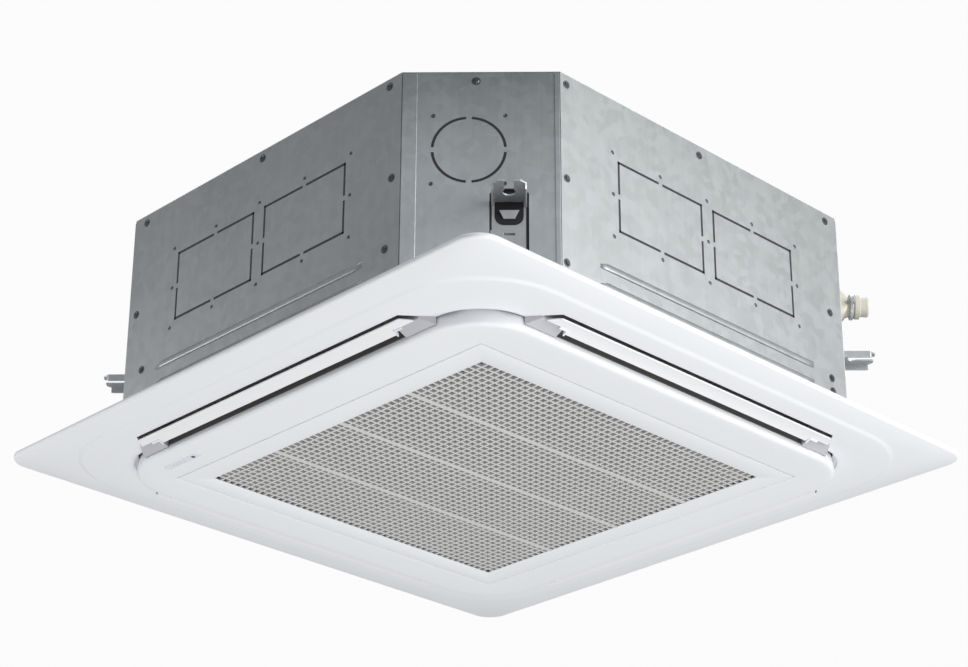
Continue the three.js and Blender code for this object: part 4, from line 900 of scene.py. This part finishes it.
# End housings of the louvers: the fixed one and the motor's, white plastic given a grey as painted shade.
for side, name in enumerate(SIDES):
    ends = ((-1, "bearing", "panel_plastic", ()), (1, "drive", "dark_plastic", ("louver_motor_" + name,)))
    for sign, label, slot, stands in ends:
        bm = bmesh.new()
        body = block(bm, (CENTRE_HALF + 0.4, LOUVER_AXIS - 1), (HOUSING_START, 285), (-25.0, 1))
        for v in body:
            if v.co.y > 250:
                v.co.y = slot_end(v.co.x) + 0.8
            if v.co.z < 0 and v.co.x > CENTRE_HALF + 1:
                v.co.z = -17.5
        if sign < 0:
            bmesh.ops.scale(bm, vec=(1, -1, 1), verts=body)
        bmesh.ops.transform(bm, matrix=side_turn(side), verts=body)
        outwards(bm)
        housing = piece(f"louver_{label}_{name}", bm, housing_painted_shade, stands_for=stands)
        add_bevel(housing, 1.0, 3)

# Painted shade in the air ducts above the outlets: a dark grey strip on their inner walls behind the centre
# frame's edge, and a near-black lining round each duct.
for side, name in enumerate(SIDES):
    bm = bmesh.new()
    block(bm, (CENTRE_HALF - 0.4, CENTRE_HALF + 0.5), (-238.4, 238.4), (-22, -4), side_turn(side))
    piece("duct_wall_" + name, bm, painted_duct_shade)
    bm = bmesh.new()
    inner, outer = CENTRE_HALF - 1, SLOT_OUTER - 1.5
    base = [bm.verts.new((x, y, -1.5)) for x, y in ((inner, -290), (outer, -259), (outer, 259), (inner, 290))]
    loop = [bm.edges.new((base[i], base[(i + 1) % 4])) for i in range(4)]
    walls = bmesh.ops.extrude_edge_only(bm, edges=loop)["geom"]
    moved(bm, [g for g in walls if isinstance(g, bmesh.types.BMVert)], 0, 0, 8)
    bmesh.ops.transform(bm, matrix=side_turn(side), verts=bm.verts)
    bmesh.ops.recalc_face_normals(bm, faces=bm.faces)
    add_wall(piece("duct_lining_" + name, bm, duct_dark), 1.0, 1.0)


# ---------------------------------------------------------------- inside
refined("foam_liner", white_foam, 0.8)
refined("drain_pan", pan_foam, 1.0)
refined("panel_seal", rubber, 0.6)
refined("bell_mouth", dark_plastic, 0.0, 60, dissolve=0.5)
refined("turbo_fan", fan_plastic, 0.0, 50, dissolve=0.5)
refined("fan_motor", enamel, 0.5, 50)
refined("motor_bracket", zinc, 0.4)
refined("drain_hose", hose_grey, 0.0, 60, dissolve=0.5)
refined("drain_pump", dark_plastic, 0.8, 50)
refined("control_box", zinc, 0.3)
refined("control_box_cover", zinc, 0.3)
refined("pipe_plate", zinc, 0.3)
refined("cable_gland", rubber, 0.5, 50)
refined("gas_flare_nut", brass, 0.7, 40)
refined("liquid_flare_nut", brass, 0.6, 40)
refined("gas_pipe", copper, 0.3, 50)
refined("liquid_pipe", copper, 0.3, 50)
refined("heat_exchanger", fins, 0.0, 30)

# Nodes that are shown as they are, each with its finish.
CARRIED = {
    "coil_end_plate_front": zinc,
    "coil_end_plate_right": zinc,
    "motor_bush_1": rubber,
    "motor_bush_2": rubber,
    "motor_bush_3": rubber,
    "fan_shaft": shaft_steel,
    "fan_nut": shaft_steel,
    "float_switch": cream,
    "float": cream,
    "control_board": circuit_board,
    "terminal_block": cream,
    "grille_hinge_pin_rear": shaft_steel,
    "grille_hinge_pin_front": shaft_steel,
    "grille_clip_rear": inner_white,
    "grille_clip_front": inner_white,
}
for node, finish in CARRIED.items():
    mesh = NODES[node].data
    mesh.materials.clear()
    mesh.materials.append(finish)

# Drain outlet: a round chamber across the corner, with a collared spigot and a clip.
DRAIN_CHAMBER = [
    (0, -18), (20, -18), (23, -16.6), (24, -14.5), (24, -6), (24.6, -5),
    (24.6, 5), (24, 6), (24, 14.5), (23, 16.6), (20, 18), (0, 18),
]
DRAIN_SPIGOT = [
    (10.5, 4), (10.5, 53.4), (11.2, 54), (13.2, 54), (14.6, 52), (14.2, 46), (14.0, 42),
    (17.5, 40.6), (17.5, 34.6), (16.6, 33.6), (14.4, 33), (14.6, 24), (19, 12),
]
port = corner_turn(3) @ Matrix.Translation((CORNER_DISTANCE, 0, DRAIN_Z))
across = port @ Matrix.Rotation(math.pi / 2, 4, "X")
out = port @ Z_TO_X
bm = bmesh.new()
turned(bm, DRAIN_CHAMBER, across)
turned(bm, DRAIN_SPIGOT, out)
turned(bm, [(0, -21), (13.4, -21), (14, -20), (14, 0)], out, 24)
outwards(bm)
piece("drain_socket", bm, cream, stands_for=("drain_outlet",), smooth=35)
bm = bmesh.new()
turned(bm, [(14.6, 27), (18.6, 27), (18.6, 31.5), (14.6, 31.5)], out)
block(bm, (-4, 4), (-27, -17), (26.5, 32), out)
outwards(bm)
add_bevel(piece("drain_clip", bm, zinc), 0.5)


# ---------------------------------------------------------------- stage, light and camera
bm = bmesh.new()
bmesh.ops.create_grid(bm, x_segments=1, y_segments=1, size=16)
moved(bm, bm.verts[:], 0, 0, -8)
floor_mesh = bpy.data.meshes.new("floor")
bm.to_mesh(floor_mesh)
bm.free()
floor_mesh.materials.append(moulded("floor_paint", (0.88, 0.88, 0.88), 0.8, 0.99))
floor = bpy.data.objects.new("floor", floor_mesh)
bpy.context.scene.collection.objects.link(floor)

world = bpy.data.worlds.new("studio")
bpy.context.scene.world = world
world.use_nodes = True
tree = world.node_tree
tree.nodes.clear()
seen = tree.nodes.new("ShaderNodeBackground")
seen.inputs["Color"].default_value = (0.97, 0.97, 0.97, 1)
felt = tree.nodes.new("ShaderNodeBackground")
felt.inputs["Color"].default_value = (0.94, 0.97, 1.0, 1)
felt.inputs["Strength"].default_value = 0.40
ray = tree.nodes.new("ShaderNodeLightPath")
either = tree.nodes.new("ShaderNodeMixShader")
sky = tree.nodes.new("ShaderNodeOutputWorld")
tree.links.new(ray.outputs["Is Camera Ray"], either.inputs[0])
tree.links.new(felt.outputs[0], either.inputs[1])
tree.links.new(seen.outputs[0], either.inputs[2])
tree.links.new(either.outputs[0], sky.inputs["Surface"])


def lamp(name, place, target, size, power, colour=(1, 1, 1)):
    light = bpy.data.lights.new(name, "AREA")
    light.shape = "SQUARE"
    light.size = size
    light.energy = power
    light.color = colour
    obj = bpy.data.objects.new(name, light)
    obj.location = place
    aim = Vector(target) - Vector(place)
    obj.rotation_euler = aim.to_track_quat("-Z", "Y").to_euler()
    bpy.context.scene.collection.objects.link(obj)


lamp("key", (0.9, -3.4, 0.5), (0, 0, 0.16), 2.2, 118)
lamp("below", (-0.2, -0.6, -2.5), (0, 0, 0), 3.2, 58)
lamp("left_low", (-1.4, 1.2, 0.1), (-0.42, 0.2, 0.08), 0.5, 6)
lamp("top_fill", (0.4, 0.6, 3.2), (0, 0, 0.3), 3.0, 60)

FOCAL_PIXELS = 2462.0
FRAME_WIDTH = 968
AZIMUTH, PITCH, ROLL = (math.radians(a) for a in (-44.2, 25.95, 0.18))
SENSOR_WIDTH = 36
level = math.cos(PITCH)
forward = Vector((-math.sin(AZIMUTH) * level, math.cos(AZIMUTH) * level, math.sin(PITCH)))
camera_data = bpy.data.cameras.new("camera")
camera_data.sensor_width = SENSOR_WIDTH
camera_data.lens = FOCAL_PIXELS / FRAME_WIDTH * SENSOR_WIDTH
camera_data.clip_end = 100
camera = bpy.data.objects.new("camera", camera_data)
camera.location = (-2.2053, -2.2647, -1.3481)
aim = forward.to_track_quat("-Z", "Y").to_matrix()
camera.rotation_euler = (aim @ Matrix.Rotation(ROLL, 3, "Z")).to_euler()
bpy.context.scene.collection.objects.link(camera)
bpy.context.scene.camera = camera
bpy.context.scene.view_settings.view_transform = "Standard"
